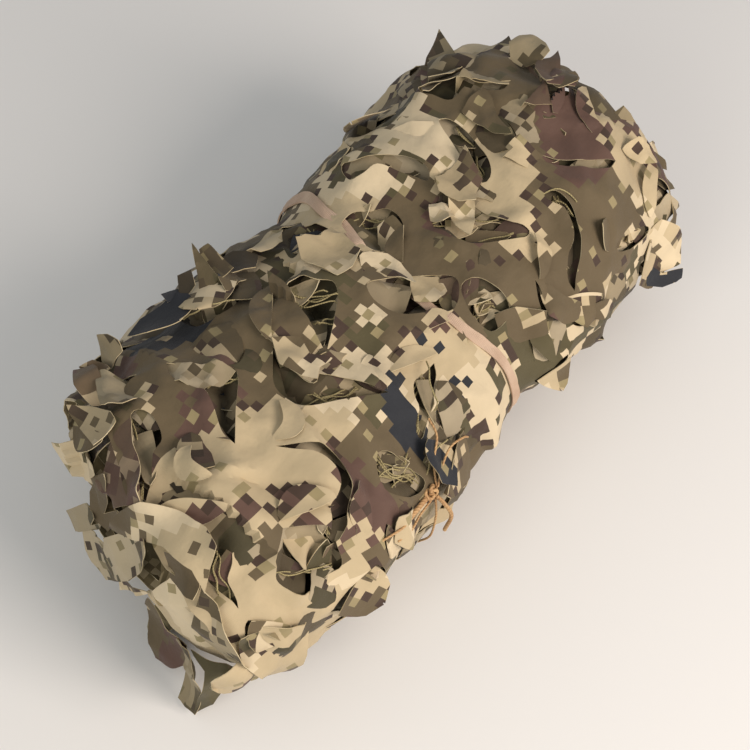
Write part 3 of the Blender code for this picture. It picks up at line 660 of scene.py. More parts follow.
# %% Outlines
OUTLINE_STEP = 3.2
ROW_SPACING, JITTER, EDGE_ROOM = 0.87, 0.12, 0.55      # as shares of the step between points
NEAREST_BLOCK = 2000


def line_through(stops, step, closed=True, softness=1.0):
    """Points about a step apart on a line through stops, from straight sides (0) to round bends (1).

    A stop with a third value is a sharp corner anyway."""
    spots = [np.array(stop[:2], float) for stop in stops]
    corner = [len(stop) > 2 for stop in stops]
    count, line = len(stops), []
    for i in range(count if closed else count - 1):
        j = (i + 1) % count
        chord = spots[j] - spots[i]
        length = np.linalg.norm(chord)
        ways = []
        for k in (i, j):
            way = spots[(k + 1) % count] - spots[k - 1]
            bare_end = not closed and k in (0, count - 1)
            soft = way / max(np.linalg.norm(way), 1e-6) * length
            ways.append(chord if corner[k] or bare_end else chord + (soft - chord) * softness)
        parts = max(1, round(length / step))
        t = (np.arange(parts) / parts)[:, None]
        line.append(
            (2 * t ** 3 - 3 * t ** 2 + 1) * spots[i] + (t ** 3 - 2 * t ** 2 + t) * ways[0]
            + (3 * t ** 2 - 2 * t ** 3) * spots[j] + (t ** 3 - t ** 2) * ways[1]
        )
    if not closed:
        line.append(spots[-1][None])
    return np.concatenate(line)


def inside(points, outline):
    """Which flat points lie in an outline."""
    found = np.zeros(len(points), bool)
    low, high = outline.min(axis=0), outline.max(axis=0)
    near = np.where(((points >= low) & (points <= high)).all(axis=1))[0]
    x, y = points[near, :1], points[near, 1:]
    ax, ay = outline[:, 0], outline[:, 1]
    bx, by = np.roll(ax, -1), np.roll(ay, -1)
    rise = np.where(by == ay, 1e-9, by - ay)
    crosses = ((ay > y) != (by > y)) & (x < ax + (y - ay) / rise * (bx - ax))
    found[near] = crosses.sum(axis=1) % 2 == 1
    return found


def nearest(points, marks):
    """How far each flat point is from the nearest mark, and which one that is."""
    away = np.full(len(points), np.inf)
    which = np.zeros(len(points), int)
    for start in range(0, len(points), NEAREST_BLOCK):
        block = slice(start, start + NEAREST_BLOCK)
        gaps = np.linalg.norm(points[block][:, None] - marks[None], axis=2)
        which[block] = gaps.argmin(axis=1)
        away[block] = gaps.min(axis=1)
    return away, which


def cut_flat(edge, holes, step):
    """Flat points and triangles of a cloth with holes in it."""
    outlines = [edge, *holes]
    marks = np.concatenate(outlines)
    low, high = edge.min(axis=0), edge.max(axis=0)
    rows = []
    for i, row in enumerate(np.arange(low[1] + step / 2, high[1], step * ROW_SPACING)):
        along = np.arange(low[0] + step * (0.3 + 0.5 * (i % 2)), high[0], step)
        rows.append(np.stack([along, np.full(len(along), row)], axis=1))
    spots = np.concatenate(rows)
    dice = np.random.default_rng(len(spots))
    spots = spots + dice.uniform(-JITTER, JITTER, spots.shape) * step
    kept = inside(spots, edge)
    for hole in holes:
        kept &= ~inside(spots, hole)
    spots = spots[kept]
    spots = spots[nearest(spots, marks)[0] > step * EDGE_ROOM]
    edges, first = [], 0
    for outline in outlines:
        ids = np.arange(first, first + len(outline))
        edges += list(zip(ids.tolist(), np.roll(ids, -1).tolist()))
        first += len(outline)
    flat = np.concatenate([marks, spots])
    made, _, faces, *_ = geometry.delaunay_2d_cdt([Vector(p) for p in flat], edges, [], 0, 1e-5)
    made = np.array([tuple(p) for p in made])
    faces = np.array([face for face in faces if len(face) == 3])
    middles = made[faces].mean(axis=1)
    kept = inside(middles, edge)
    for hole in holes:
        kept &= ~inside(middles, hole)
    faces = faces[kept]
    used, faces = np.unique(faces, return_inverse=True)
    return made[used], faces.reshape(-1, 3)


print("outline points every", OUTLINE_STEP, "mm")

# %% [markdown]
# A cloth object is put together from many such pieces: a turn of the roll and all its leaves. Each piece
# keeps its flat coordinates as its UV map, so the print stays at its real scale however the piece is bent.
# The object has no thickness at first. It gets its 0.6 mm from a Solidify modifier, with the wrong side and
# the cut edge as second and third finish.

# %% Cloth objects
CLOTH, FLOOR_GAP = 0.0006, 0.0002
SHARP_FOLD = 38
Cloth = namedtuple("Cloth", "points faces flat tone")
# How far a tone is to the light side, how near to black, how olive (below 0: maroon), and how bright
TONES = {
    "mixed": (0.0, 0.0, 0.0, 1.0),
    "tan": (0.11, 0.0, 0.0, 1.0),
    "cream": (0.17, 0.0, 0.0, 1.08),
    "khaki": (0.10, 0.0, 0.45, 0.94),
    "olive": (0.02, 0.0, 0.9, 0.92),
    "brown": (-0.20, 0.0, 0.0, 0.96),
    # deep, under and the nearly black tone below are dimmed by their last value: painted shade for cloth and
    # core down in the holes
    "deep": (-0.30, 0.0, 0.0, 0.62),
    "under": (-0.06, 0.0, 0.30, 0.70),
    "shaded_dark": (-0.30, 0.0, 0.2, 0.30),
    "maroon": (-0.16, 0.0, -1.0, 1.0),
    "rose": (-0.10, 0.0, -0.45, 1.30),
    "navy": (-0.30, 1.0, 0.0, 1.0),
    "night": (-0.03, 1.0, 0.0, 1.0),
    "bark": (-0.45, 0.0, 0.0, 0.98),
    # grey is a pale olive dimmed the same way, as painted shade for leaves down in the holes
    "grey": (0.30, 0.0, 0.25, 0.62),
}


def cloth_object(name, cloths):
    """One object from many pieces of cloth, with the cloth's thickness."""
    points = np.concatenate([cloth.points for cloth in cloths])
    points[:, 2] = np.maximum(points[:, 2], CLOTH / 2 + FLOOR_GAP)
    flat = np.concatenate([cloth.flat for cloth in cloths])
    tone = np.concatenate([np.tile(TONES[cloth.tone], (len(cloth.points), 1)) for cloth in cloths])
    faces, first = [], 0
    for cloth in cloths:
        faces += [[first + i for i in face] for face in cloth.faces.tolist()]
        first += len(cloth.points)
    mesh = flat_mesh(name, points, faces, flat)
    mesh.attributes.new("tone", "FLOAT_COLOR", "POINT").data.foreach_set("color", tone.ravel())
    shown = linked(name, mesh)
    for finish in (printed_cloth, cloth_wrong_side, cut_edge):
        mesh.materials.append(finish)
    mesh.shade_smooth()
    bpy.context.view_layer.objects.active = shown
    solid = shown.modifiers.new("thickness", "SOLIDIFY")
    solid.thickness = CLOTH
    solid.offset = 0
    solid.material_offset = 1
    solid.material_offset_rim = 2
    bpy.ops.object.modifier_apply(modifier=solid.name)
    shown.data.set_sharp_from_angle(angle=math.radians(SHARP_FOLD))
    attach(shown, "root")
    triangles = sum(len(face.vertices) - 2 for face in shown.data.polygons)
    print(name, "has", triangles, "triangles")
    return shown


# %% [markdown]
# ## Folds
# Cloth that has been rolled by hand is pulled tight in places and slack in others. The slack shows as sharp
# ridges with shallow valleys between them, so the small folds are ridged noise, warped by a slower noise. The
# folds that the eye goes to are listed one by one: soft swells, and creases along short lines.

# %% Folds
TapeStop = namedtuple("TapeStop", "around along")
TAPE_RUN = [TapeStop(*row) for row in (
    (-358, 28),
    (-240, 38),
    (-112, 41),
    (-55, 24),
    (-8, 10),
    (72, 6),
    (142, 20),
    (240, 26),
    (358, 28),
)]
Swell = namedtuple("Swell", "along around long broad turn height")
SWELLS = [Swell(*row) for row in (
    (-160, 82, 22, 16, 60, 8),
    (-188, 40, 34, 9, 20, 4),
    (-225, 30, 40, 14, 70, 5),
    (-118, 78, 30, 12, 120, 4),
    (-60, 70, 30, 10, 150, 3),
    (-100, -24, 34, 12, 10, 4),
    (-20, -20, 26, 12, 100, 4),
    (60, 60, 40, 14, 150, 4),
    (110, 60, 24, 14, 30, 5),
    (160, 20, 40, 14, 160, 5),
    (190, 60, 34, 12, 40, 4),
    (150, -60, 30, 14, 10, 5),
    (210, -50, 34, 12, 60, 5),
    (-215, 110, 30, 14, 90, 5),
    (-250, 150, 30, 16, 60, 6),
    (80, 110, 30, 12, 100, 4),
    (30, 130, 34, 10, 90, 3),
)]
Crease = namedtuple("Crease", "stops wide height")
CREASES = [Crease(*row) for row in (
    ([(-212, 30), (-196, 46), (-182, 66)], 3.5, -5),
    ([(-212, 24), (-196, 38), (-178, 58)], 5, 4),
    ([(-246, 10), (-238, 36), (-226, 62)], 5, -4),
    ([(-130, 60), (-112, 76), (-92, 84)], 5, 3.5),
    ([(-110, -10), (-80, -4), (-58, 20)], 4, 3),
    ([(-128, -60), (-104, -34), (-84, -20)], 5, 3.5),
    ([(-34, 6), (-36, 44), (-58, 66)], 4, 3),
    ([(-30, -96), (-8, -30), (10, -8)], 5, 3),
    ([(40, 2), (52, 44), (58, 86)], 6, 3.5),
    ([(88, 72), (98, 96), (86, 116)], 4, 4),
    ([(136, 10), (150, 30), (156, 36)], 4, -3),
    ([(146, -8), (168, -14), (196, 4)], 5, 4),
    ([(150, 60), (158, 92), (150, 122)], 6, 3.5),
    ([(188, 30), (206, 52), (226, 64)], 5, 4),
    ([(-150, 108), (-128, 128), (-108, 150)], 5, 4),
    ([(-230, 118), (-214, 146), (-200, 170)], 5, 4),
    ([(-262, 122), (-244, 146), (-236, 172)], 5, -4),
    ([(-20, 110), (-22, 140), (-30, 168)], 5, 4),
    ([(60, -110), (72, -84), (94, -64)], 5, 4),
    ([(-200, -90), (-176, -64), (-160, -48)], 5, 4),
)]
RIDGE_SIZE, RIDGE_HEIGHT = 84.0, 3.0
FACET_SIZE, FACET_SHARE = 44.0, 1.0
SMALL_FACET_SIZE, SMALL_FACET_SHARE = 21.0, 0.55
FACET_TILT, FACET_BOWL = 0.16, 0.16
RIPPLE_SIZE, RIPPLE_HEIGHT = 12.0, 0.35


def tape_along(around):
    return columns_at(TAPE_RUN, apart(around, 0))[0]


def ridged(along, around, size, seed):
    """Noise with sharp ridges and shallow valleys, -1 to 1."""
    slow = noise_at(along / (size * 1.6), around / (size * 1.6), seed + 0.5)
    found = noise_at(along / size + 0.6 * slow, around / size - 0.6 * slow, seed)
    return 1 - 2 * np.sqrt(np.abs(found) + 0.01) / 0.7


def faceted(along, around, size, seed, soft=0.5):
    """Crumpled cloth: a patchwork of tilted, nearly flat facets about that size, in millimetres."""
    dice = np.random.default_rng(seed)
    flat = np.stack([np.ravel(along), np.ravel(around)], axis=1)
    low, high = flat.min(axis=0) - size, flat.max(axis=0) + size
    cells = np.stack(np.meshgrid(*[np.arange(a, b, size) for a, b in zip(low, high)]), axis=-1).reshape(-1, 2)
    cells = cells + dice.uniform(-0.45, 0.45, cells.shape) * size
    tilts = dice.normal(0, FACET_TILT, cells.shape)
    total = np.full(len(flat), np.inf)
    for cell, tilt in zip(cells, tilts):
        off = flat - cell
        near = (np.abs(off) < size * 1.9).all(axis=1)
        away = np.linalg.norm(off[near], axis=1) / size
        plane = off[near] @ tilt + FACET_BOWL * size * away ** 2
        old = total[near]
        gap = np.clip(0.5 + 0.5 * (plane - old) / soft, 0, 1)
        merged = np.where(np.isinf(old), plane, plane + (np.where(np.isinf(old), 0, old) - plane) * gap)
        total[near] = np.where(np.isinf(old), plane, merged - soft * gap * (1 - gap))
    return total.reshape(np.shape(along))


def crumple(along, around, seed=3):
    """The small folds of slack cloth, in millimetres off the roll."""
    height = RIDGE_HEIGHT * ridged(along, around, RIDGE_SIZE, seed)
    height += FACET_SHARE * faceted(along, around, FACET_SIZE, seed)
    height += SMALL_FACET_SHARE * faceted(along, around, SMALL_FACET_SIZE, seed + 1)
    return height + RIPPLE_HEIGHT * noise_at(along / RIPPLE_SIZE, around / RIPPLE_SIZE, seed + 11)


def placed_folds(along, around):
    height = sum(swell.height * bump_at(swell, along, around) for swell in SWELLS)
    flat = np.stack([along.ravel(), around.ravel()], axis=1)
    for crease in CREASES:
        line = line_through(crease.stops, 2.0, closed=False)
        away, which = nearest(flat, line)
        fade = np.sin(np.pi * np.clip((which + 1) / (len(line) + 1), 0, 1)) ** 0.6
        height = height + (crease.height * fade * np.exp(-away / crease.wide)).reshape(along.shape)
    return height


def folds(along, around):
    """All folds of the outer turns. They are pressed flat under the tape and near the knot."""
    calm = smooth((np.abs(along - tape_along(around)) - 4) / 26)
    calm = calm * smooth((np.hypot(along - KNOT_ALONG, around - KNOT_AROUND) - 6) / 30)
    return calm * (crumple(along, around) + placed_folds(along, around))


print(len(SWELLS), "swells and", len(CREASES), "creases placed by hand")

# %% [markdown]
# ## Leaf cuts
# The net's pattern is a repeat of curved cuts, each with a leaf of cloth that stays joined at one side. On
# the roll the cuts that show have been pulled into open holes of many shapes, so those outlines are listed
# one by one. On the back and below, the cuts go in rows as the machine made them.

# %% Open holes
HOLES = {
    "waist_left": [
        (-50, -32), (-42, -28), (-40, -18), (-32, -4), (-58, 16), (-82, 28, 1), (-68, -4), (-60, -22)],
    "string_hole": [
        (-104, -2, 1), (-124, 14), (-128, 28), (-126, 42), (-116, 50), (-104, 58), (-76, 78, 1), (-82, 66),
        (-90, 48), (-98, 34, 1), (-108, 36), (-108, 22),
    ],
    "black_hole": [
        (-158, -50, 1), (-146, -30), (-136, -20), (-134, -10), (-160, 10), (-180, 26, 1), (-178, 14),
        (-168, -2), (-162, -14), (-164, -26), (-166, -38),
    ],
    "long_slit": [
        (-204, -44), (-214, -34), (-234, -14), (-248, 4, 1), (-232, -4), (-216, -14), (-204, -18),
        (-196, -32), (-198, -42),
    ],
    "crescent": [
        (-164, 46, 1), (-150, 58), (-140, 70), (-140, 82), (-144, 90), (-156, 100), (-174, 116), (-180, 118),
        (-182, 110), (-178, 102), (-170, 96), (-162, 94), (-154, 88), (-150, 80), (-150, 68), (-158, 56),
    ],
    "front_hole": [
        (-204, 86, 1), (-220, 96), (-224, 102), (-228, 110), (-226, 120), (-222, 128), (-208, 136),
        (-194, 136), (-184, 136), (-180, 120), (-182, 104), (-190, 96),
    ],
    "near_edge": [
        (-228, 60), (-238, 60), (-248, 68), (-254, 78), (-256, 92), (-256, 112, 1), (-252, 100), (-248, 88),
        (-238, 80), (-232, 72), (-228, 66),
    ],
    "knot_hole": [
        (-120, 98), (-112, 98), (-104, 110), (-100, 126), (-98, 138), (-110, 138), (-128, 120),
        (-130, 108)],
    "dark_slit": [
        (-28, 90, 1), (-32, 98), (-44, 104), (-70, 116), (-78, 118), (-78, 112), (-66, 102), (-60, 94),
        (-50, 88), (-38, 90),
    ],
    "waist_front": [
        (-18, 14), (-6, 18), (6, 26), (28, 46), (34, 58), (28, 68), (14, 74), (-8, 58), (-18, 48), (-24, 32),
        (-24, 22),
    ],
    "low_crumple": [(32, 66), (42, 70), (46, 82), (48, 96), (42, 106), (28, 110), (22, 102), (22, 84)],
    "waist_top": [
        (-12, -76), (0, -84), (10, -78), (12, -60), (8, -44), (-6, -48), (-18, -48), (-26, -50), (-22, -62),
    ],
    "olive_leaf": [
        (22, -46), (34, -46), (44, -36), (52, -26), (52, -14), (46, -4), (36, 2), (26, 2), (16, -2),
        (14, -16), (16, -32),
    ],
    "striped": [
        (68, -80), (72, -70), (82, -54), (92, -32), (88, -12), (82, -28), (74, -48), (62, -56), (56, -62)],
    "spindle": [
        (134, -36), (140, -30), (140, -16), (134, 0), (126, 14), (116, 22), (110, 20), (114, 2),
        (122, -16)],
    "cream_leaf": [
        (74, 2), (60, 14), (58, 26), (56, 38), (62, 50), (78, 62), (98, 72), (94, 58), (90, 46), (92, 32),
        (92, 22), (84, 8),
    ],
    "frayed": [
        (128, 60), (136, 64), (138, 74), (136, 82), (128, 92), (114, 108), (98, 126, 1), (98, 118),
        (108, 102), (116, 96), (126, 86), (130, 76), (128, 68),
    ],
    "short_slit": [(74, 98, 1), (72, 108), (66, 126, 1), (64, 120), (68, 108)],
    "far_top": [
        (158, -66), (166, -54), (178, -40), (186, -26), (198, -14, 1), (186, -14), (178, -24), (168, -34),
        (156, -38), (152, -52), (150, -60),
    ],
    "far_edge": [(222, -2), (234, 10), (218, 26), (208, 22), (196, 20), (206, 10)],
    "far_slit": [
        (156, 36, 1), (164, 50), (174, 63), (198, 82, 1), (186, 81), (169, 67), (160, 54), (153, 42)],
    "low_slit": [
        (152, 122), (166, 126), (184, 132), (194, 142), (184, 144), (170, 140), (158, 134), (150, 128)],
    "far_front": [
        (222, 122), (236, 130), (240, 154), (236, 164), (226, 166), (214, 154), (208, 138), (212, 126)],
}
print(len(HOLES), "holes shaped by hand")

# %% Cuts in rows, and the cuts that stand out from the roll's outline
Cut = namedtuple("Cut", "along around wide deep turn sharp bow lift")
# A lift of 0 leaves the hole without a leaf
EDGE_CUTS = [Cut(*row) for row in (
    (-152, -112, 40, 34, -100, 1.8, 3, 0),
    (-82, -80, 50, 36, 150, 2.0, 3, 14),
    (-178, -84, 34, 18, 160, 1.9, 2, 0),
    (-184, 160, 44, 30, 55, 2.4, 3, 30),
    (-140, 146, 30, 16, 165, 1.6, 0, 20),
    (58, 170, 32, 26, 80, 1.3, 2, 34),
    (186, 166, 44, 40, 50, 3.2, 3, 38),
    (206, -98, 42, 34, -80, 1.2, 2, 0),
    (104, 134, 36, 24, 120, 1.9, 2, 18),
    (-244, 138, 34, 24, 140, 1.8, 2, 22),
    (132, -104, 44, 34, 150, 1.8, 3, 26),
    (-38, -128, 40, 34, -110, 1.7, 3, 30),
    (-48, 160, 42, 44, 192, 1.5, 0, 14),
)]
PLAIN_ROWS = [-212, -158, 220, 278, 336, 396]
GROUND_ROWS = (278, 336, 396)
ROW_LIFTS = (0, 18, 26, 34)
ROW_PITCH, ROW_SHIFT, ROW_ENDS = 76.0, 6.0, 220.0
END_CLEAR, TAPE_CLEAR, CUT_CLEAR = 30.0, 34.0, 58.0
CUT_STEPS = 22


def to_cloth(cut, x, y):
    """A leaf's own measures, x along its hinge and y towards its tip, as flat points."""
    turn = math.radians(cut.turn)
    along = cut.along + y * math.cos(turn) + x * math.sin(turn)
    around = cut.around + y * math.sin(turn) - x * math.cos(turn)
    return np.stack(np.broadcast_arrays(along, around), axis=-1)


def cut_middle(cut):
    return to_cloth(cut, 0.0, cut.deep / 2)


def cut_outline(cut):
    """The hole that a cut leaves: the bowed hinge line, then round by the tip."""
    x = cut.wide * (np.arange(5) / 4 - 0.5)
    angle = math.pi * np.arange(1, CUT_STEPS) / CUT_STEPS
    reach_x = np.sign(np.cos(angle)) * np.abs(np.cos(angle)) ** (2 / cut.sharp) * cut.wide / 2
    reach_y = np.sin(angle) ** (2 / cut.sharp) * cut.deep
    x_all = np.concatenate([x, reach_x])
    y_all = np.concatenate([-cut.bow * (1 - (2 * x / cut.wide) ** 2), reach_y])
    return to_cloth(cut, x_all, y_all)


def outline_middle(outline):
    return (outline.min(axis=0) + outline.max(axis=0)) / 2


def plain_rows():
    """Cuts in rows, wherever the ends, the tape and the other cuts leave room."""
    dice = random.Random(11)
    middles = [outline_middle(np.array([stop[:2] for stop in stops], float)) for stops in HOLES.values()]
    middles += [cut_middle(cut) for cut in EDGE_CUTS]
    found = []
    for row, around in enumerate(PLAIN_ROWS):
        shift = ROW_PITCH / 2 * (row % 2)
        for step in range(int(2 * ROW_ENDS // ROW_PITCH) + 1):
            along = -ROW_ENDS + shift + step * ROW_PITCH + dice.uniform(-ROW_SHIFT, ROW_SHIFT)
            low, high = reach(-1, around) + END_CLEAR, reach(1, around) - END_CLEAR
            if not low < along < high or abs(along - tape_along(around)) < TAPE_CLEAR:
                continue
            wide, deep = dice.uniform(34, 46), dice.uniform(30, 38)
            turn, sharp = dice.uniform(60, 150), dice.uniform(1.5, 2.1)
            lift = 0 if around in GROUND_ROWS else dice.choice(ROW_LIFTS)
            cut = Cut(along, around, wide, deep, turn, sharp, 3, lift)
            if all(np.linalg.norm(cut_middle(cut) - middle) > CUT_CLEAR for middle in middles):
                found.append(cut)
    return found


ROW_CUTS = plain_rows()
print(len(ROW_CUTS), "cuts in rows")

# %% [markdown]
# ## The outermost turn
# This sheet gives the roll its face. Its rims round the open holes don't lie flat, because pulled cloth curls
# up along a cut, so each rim is lifted a little, by an amount that wanders along it. That lift is what makes
# a hole read as an opening in cloth, with a shadow under its edge.

# %% Sheet with its holes
CLOTH_STEP = 4.4
RIM_LIFT, RIM_REACH, RIM_SIZE = 3.6, 10.0, 34.0
RIM_BACK = 6.0
FINE_SWAY, FINE_SWAY_SIZE = 2.2, 17.0
FLARE, FLARE_SIZE, FLARE_REACH = 8.0, 34.0, 20.0
# A rim that is pulled up: a place in the hole, the way the raised cloth lies from there, and how far it goes
Rim = namedtuple("Rim", "along around turn wide deep height")
RAISED_RIMS = [Rim(*row) for row in (
    (-147, 78, 195, 34, 26, 13),
    (-176, 104, 150, 18, 14, 6),
    (-204, 116, 235, 30, 20, 7),
    (-160, -10, 60, 26, 14, 6),
    (-150, -20, 250, 24, 14, 5),
    (-222, -20, 330, 24, 12, 6),
    (-116, 28, 20, 30, 12, 7),
    (-90, 56, 130, 24, 12, 5),
    (-60, -4, 200, 26, 14, 6),
    (-46, -10, 20, 20, 10, 5),
    (-54, 106, 300, 30, 12, 6),
    (2, 44, 320, 34, 14, 6),
    (38, 88, 0, 22, 12, 6),
    (-6, -66, 100, 24, 12, 5),
    (36, -22, 330, 22, 12, 6),
    (76, -50, 330, 30, 12, 6),
    (124, -8, 20, 24, 12, 6),
    (78, 40, 130, 36, 16, 6),
    (122, 90, 30, 30, 10, 5),
    (170, -36, 230, 30, 12, 7),
    (172, 62, 230, 34, 12, 4),
    (214, 12, 90, 20, 12, 6),
    (226, 146, 200, 26, 12, 6),
    (-244, 82, 210, 26, 14, 7),
    (-114, 118, 200, 20, 12, 6),
)]
hand_holes = [line_through(stops, OUTLINE_STEP) for stops in HOLES.values()]
plain_holes = [cut_outline(cut) for cut in EDGE_CUTS + ROW_CUTS]
ALL_HOLES = hand_holes + plain_holes


def end_sway(end, around):
    """How the cloth's end wanders in and out along its edge."""
    sway = END_SWAY * noise_at(around / SWAY_SIZE, 3.7 * end, 0.0)
    return sway + FINE_SWAY * noise_at(around / FINE_SWAY_SIZE, 8.1 * end, 0.0)


def sheet_edge(step, short=0.0):
    """The outline of the flat cloth. The ends wander a little, and short takes some off each."""
    around = np.arange(SHEET_START, SHEET_STOP, step)
    ends = []
    for end in (1, -1):
        ends.append(np.stack([reach(end, around) + end_sway(end, around) - end * short, around], axis=1))
    far_end, near_end = ends
    sides = []
    for place in (SHEET_START, SHEET_STOP):
        low, high = reach(-1, place) + short, reach(1, place) - short
        along = np.linspace(low, high, int((high - low) / step))[1:-1]
        sides.append(np.stack([along, np.full(len(along), place)], axis=1))
    return np.concatenate([far_end, sides[1][::-1], near_end[::-1], sides[0]])


def rim_lift(flat, holes):
    """How far the rims of the holes stand up."""
    away, _ = nearest(flat, np.concatenate(holes))
    wander = 0.5 + 0.9 * noise_at(flat[:, 0] / RIM_SIZE, flat[:, 1] / RIM_SIZE, 21.0)
    lift = RIM_LIFT * np.clip(wander, 0, 1.2) * np.exp(-(away / RIM_REACH) ** 2)
    for rim in RAISED_RIMS:
        off = flat - (rim.along, rim.around)
        turn = math.radians(rim.turn)
        ahead = off @ (math.cos(turn), math.sin(turn))
        beside = off @ (-math.sin(turn), math.cos(turn))
        behind = np.exp(-(ahead / RIM_BACK) ** 2)
        along = np.where(ahead > 0, np.exp(-np.maximum(ahead, 0) / rim.deep), behind)
        lift += rim.height * along * np.exp(-(beside / rim.wide) ** 2)
    return lift


def edge_flare(flat):
    """The cloth's ends are loose, so they wave in and out."""
    room = np.minimum(reach(1, flat[:, 1]) - flat[:, 0], flat[:, 0] - reach(-1, flat[:, 1]))
    wave = noise_at(flat[:, 1] / FLARE_SIZE, np.sign(flat[:, 0]) * 5.0, 13.0)
    return FLARE * wave * np.exp(-np.maximum(room, 0) / FLARE_REACH)


def outer_off(flat):
    """The outermost turn's height off the winding, at flat places."""
    height = sheet_off(flat[:, 1]) + folds(flat[:, 0], flat[:, 1])
    return height + rim_lift(flat, ALL_HOLES) + edge_flare(flat)


outer_flat, outer_faces = cut_flat(sheet_edge(4.5), ALL_HOLES, CLOTH_STEP)
outer_points, _ = on_roll(outer_flat[:, 0], outer_flat[:, 1], outer_off(outer_flat))
outer_turn = Cloth(outer_points, outer_faces[:, ::-1], outer_flat * MM, "mixed")
print("outer turn:", len(outer_faces), "flat triangles")

# %% [markdown]
# Leaves come in two kinds. A plain leaf is a grid, as wide as its cut at the hinge and narrowing to its tip,
# bent up along its length. A flap has an outline of its own, for the pieces whose shape the eye knows, and it
# is raised from one side to the other. Both are laid out flat and wrapped like the sheet, so they follow the
# roll and keep their real size.

# %% Leaves and flaps
LEAF_CURL, LEAF_WAVES = 0.8, 1.4
FLAP_FACET, FLAP_WAVES, FLAP_SOFTNESS = 24.0, 1.7, 0.32
FLAP_STEP, FLAP_CURL, FOLD_SLOPE = 3.6, 1.5, 0.16
# A flap starts at base off the outermost turn and gains rise in the direction of turn
Flap = namedtuple("Flap", "turn base rise cup tone stops")
print_place = random.Random(5)


def other_place():
    """Somewhere else on the printed cloth, well away from the sheet's own zones."""
    return np.array([print_place.uniform(2, 9), print_place.uniform(2, 9)])


def bend(deep, lift, curl, rows):
    """(forward, up) at each row of a leaf that curls to its lift, in degrees, over a share of its depth."""
    t = (np.arange(rows - 1) + 0.5) / (rows - 1)
    angle = math.radians(lift) * smooth(t / curl)
    step = deep / (rows - 1)
    forward = np.concatenate([[0], np.cumsum(step * np.cos(angle))])
    upward = np.concatenate([[0], np.cumsum(step * np.sin(angle))])
    return forward, upward


def grid_faces(rows, columns):
    a = (np.arange(rows - 1)[:, None] * columns + np.arange(columns - 1)[None]).ravel()
    return np.stack([a, a + 1, a + columns + 1, a + columns], axis=1)


def leaf_widths(sharp, rows):
    t = np.linspace(0, 1, rows)
    return np.maximum((1 - t ** sharp) ** (1 / sharp), 0.03)


def plain_leaf(cut, base, tone="mixed", cup=0.0, sway=0.0, waves=LEAF_WAVES):
    """A leaf of a cut. base is its height off the winding, as a number or a function of the flat places, and
    cup is how far its sides curl up."""
    rows, columns = max(6, int(cut.deep / 4)), max(5, int(cut.wide / 4.5))
    forward, upward = bend(cut.deep * 0.95, cut.lift, LEAF_CURL, rows)
    side = np.linspace(-1, 1, columns)
    x = side[None] * leaf_widths(cut.sharp, rows)[:, None] * cut.wide * 0.47
    t = np.linspace(0, 1, rows)[:, None]
    x = x + sway * t ** 2
    y = np.broadcast_to(forward[:, None], x.shape) - cut.bow * (1 - side[None] ** 2) * (1 - t)
    flat = to_cloth(cut, x, y)
    ground = base(flat.reshape(-1, 2)).reshape(x.shape) if callable(base) else base
    height = ground + upward[:, None] + cup * side[None] ** 2 * t
    true_y = np.broadcast_to(np.linspace(0, cut.deep, rows)[:, None], x.shape)
    place = other_place()
    seed = float(place[0] * 7)
    height = height + waves * t * noise_at(x / 16 + seed, true_y / 16, seed)
    points, _ = on_roll(flat[..., 0], flat[..., 1], height)
    faces = grid_faces(rows, columns)
    own = np.stack([x, true_y], axis=-1).reshape(-1, 2) * MM + place
    return Cloth(points.reshape(-1, 3), faces[:, ::-1], own, tone)


def shaped_flap(flap):
    """A flap with its own outline, raised from one side to the other."""
    flat, faces = cut_flat(line_through(flap.stops, OUTLINE_STEP, softness=FLAP_SOFTNESS), [], FLAP_STEP)
    way = np.array([math.cos(math.radians(flap.turn)), math.sin(math.radians(flap.turn))])
    forward = flat @ way
    forward = (forward - forward.min()) / np.ptp(forward)
    across = flat @ np.array([-way[1], way[0]])
    across = 2 * (across - across.min()) / np.ptp(across) - 1
    place = other_place()
    seed = float(place[0] * 7)
    height = outer_off(flat) + flap.base + flap.rise * forward ** FLAP_CURL + flap.cup * across ** 2
    height = height + FLAP_WAVES * faceted(flat[:, 0], flat[:, 1], FLAP_FACET, int(seed * 100))
    height = height + 0.6 * FLAP_WAVES * ridged(flat[:, 0], flat[:, 1], 30.0, seed)
    fold = np.array([math.cos(seed), math.sin(seed)])
    height = height + FOLD_SLOPE * np.abs((flat - flat.mean(axis=0)) @ fold)
    points, _ = on_roll(flat[:, 0], flat[:, 1], height)
    return Cloth(points, faces[:, ::-1], flat * MM + place, flap.tone)


print("a flap's mesh has points every", FLAP_STEP, "mm")

# %% [markdown]
# These are the pieces that lie on the outermost turn or stand out of it: the leaves that break the roll's
# outline, and the flaps that cross an opening.

# %% Leaves of the outermost turn
HINGE_UNDER = 0.7      # how far a leaf's hinge lies under the sheet's middle
outer_leaves = []
leaf_dice = random.Random(21)
for cut in EDGE_CUTS + ROW_CUTS:
    if cut.lift:
        base = float(sheet_off(cut.around)) + float(folds(np.array([cut.along]), np.array([cut.around]))[0])
        cup, sway = leaf_dice.uniform(-3, 4), leaf_dice.uniform(-7, 7)
        outer_leaves.append(plain_leaf(cut, base - HINGE_UNDER, cup=cup, sway=sway))

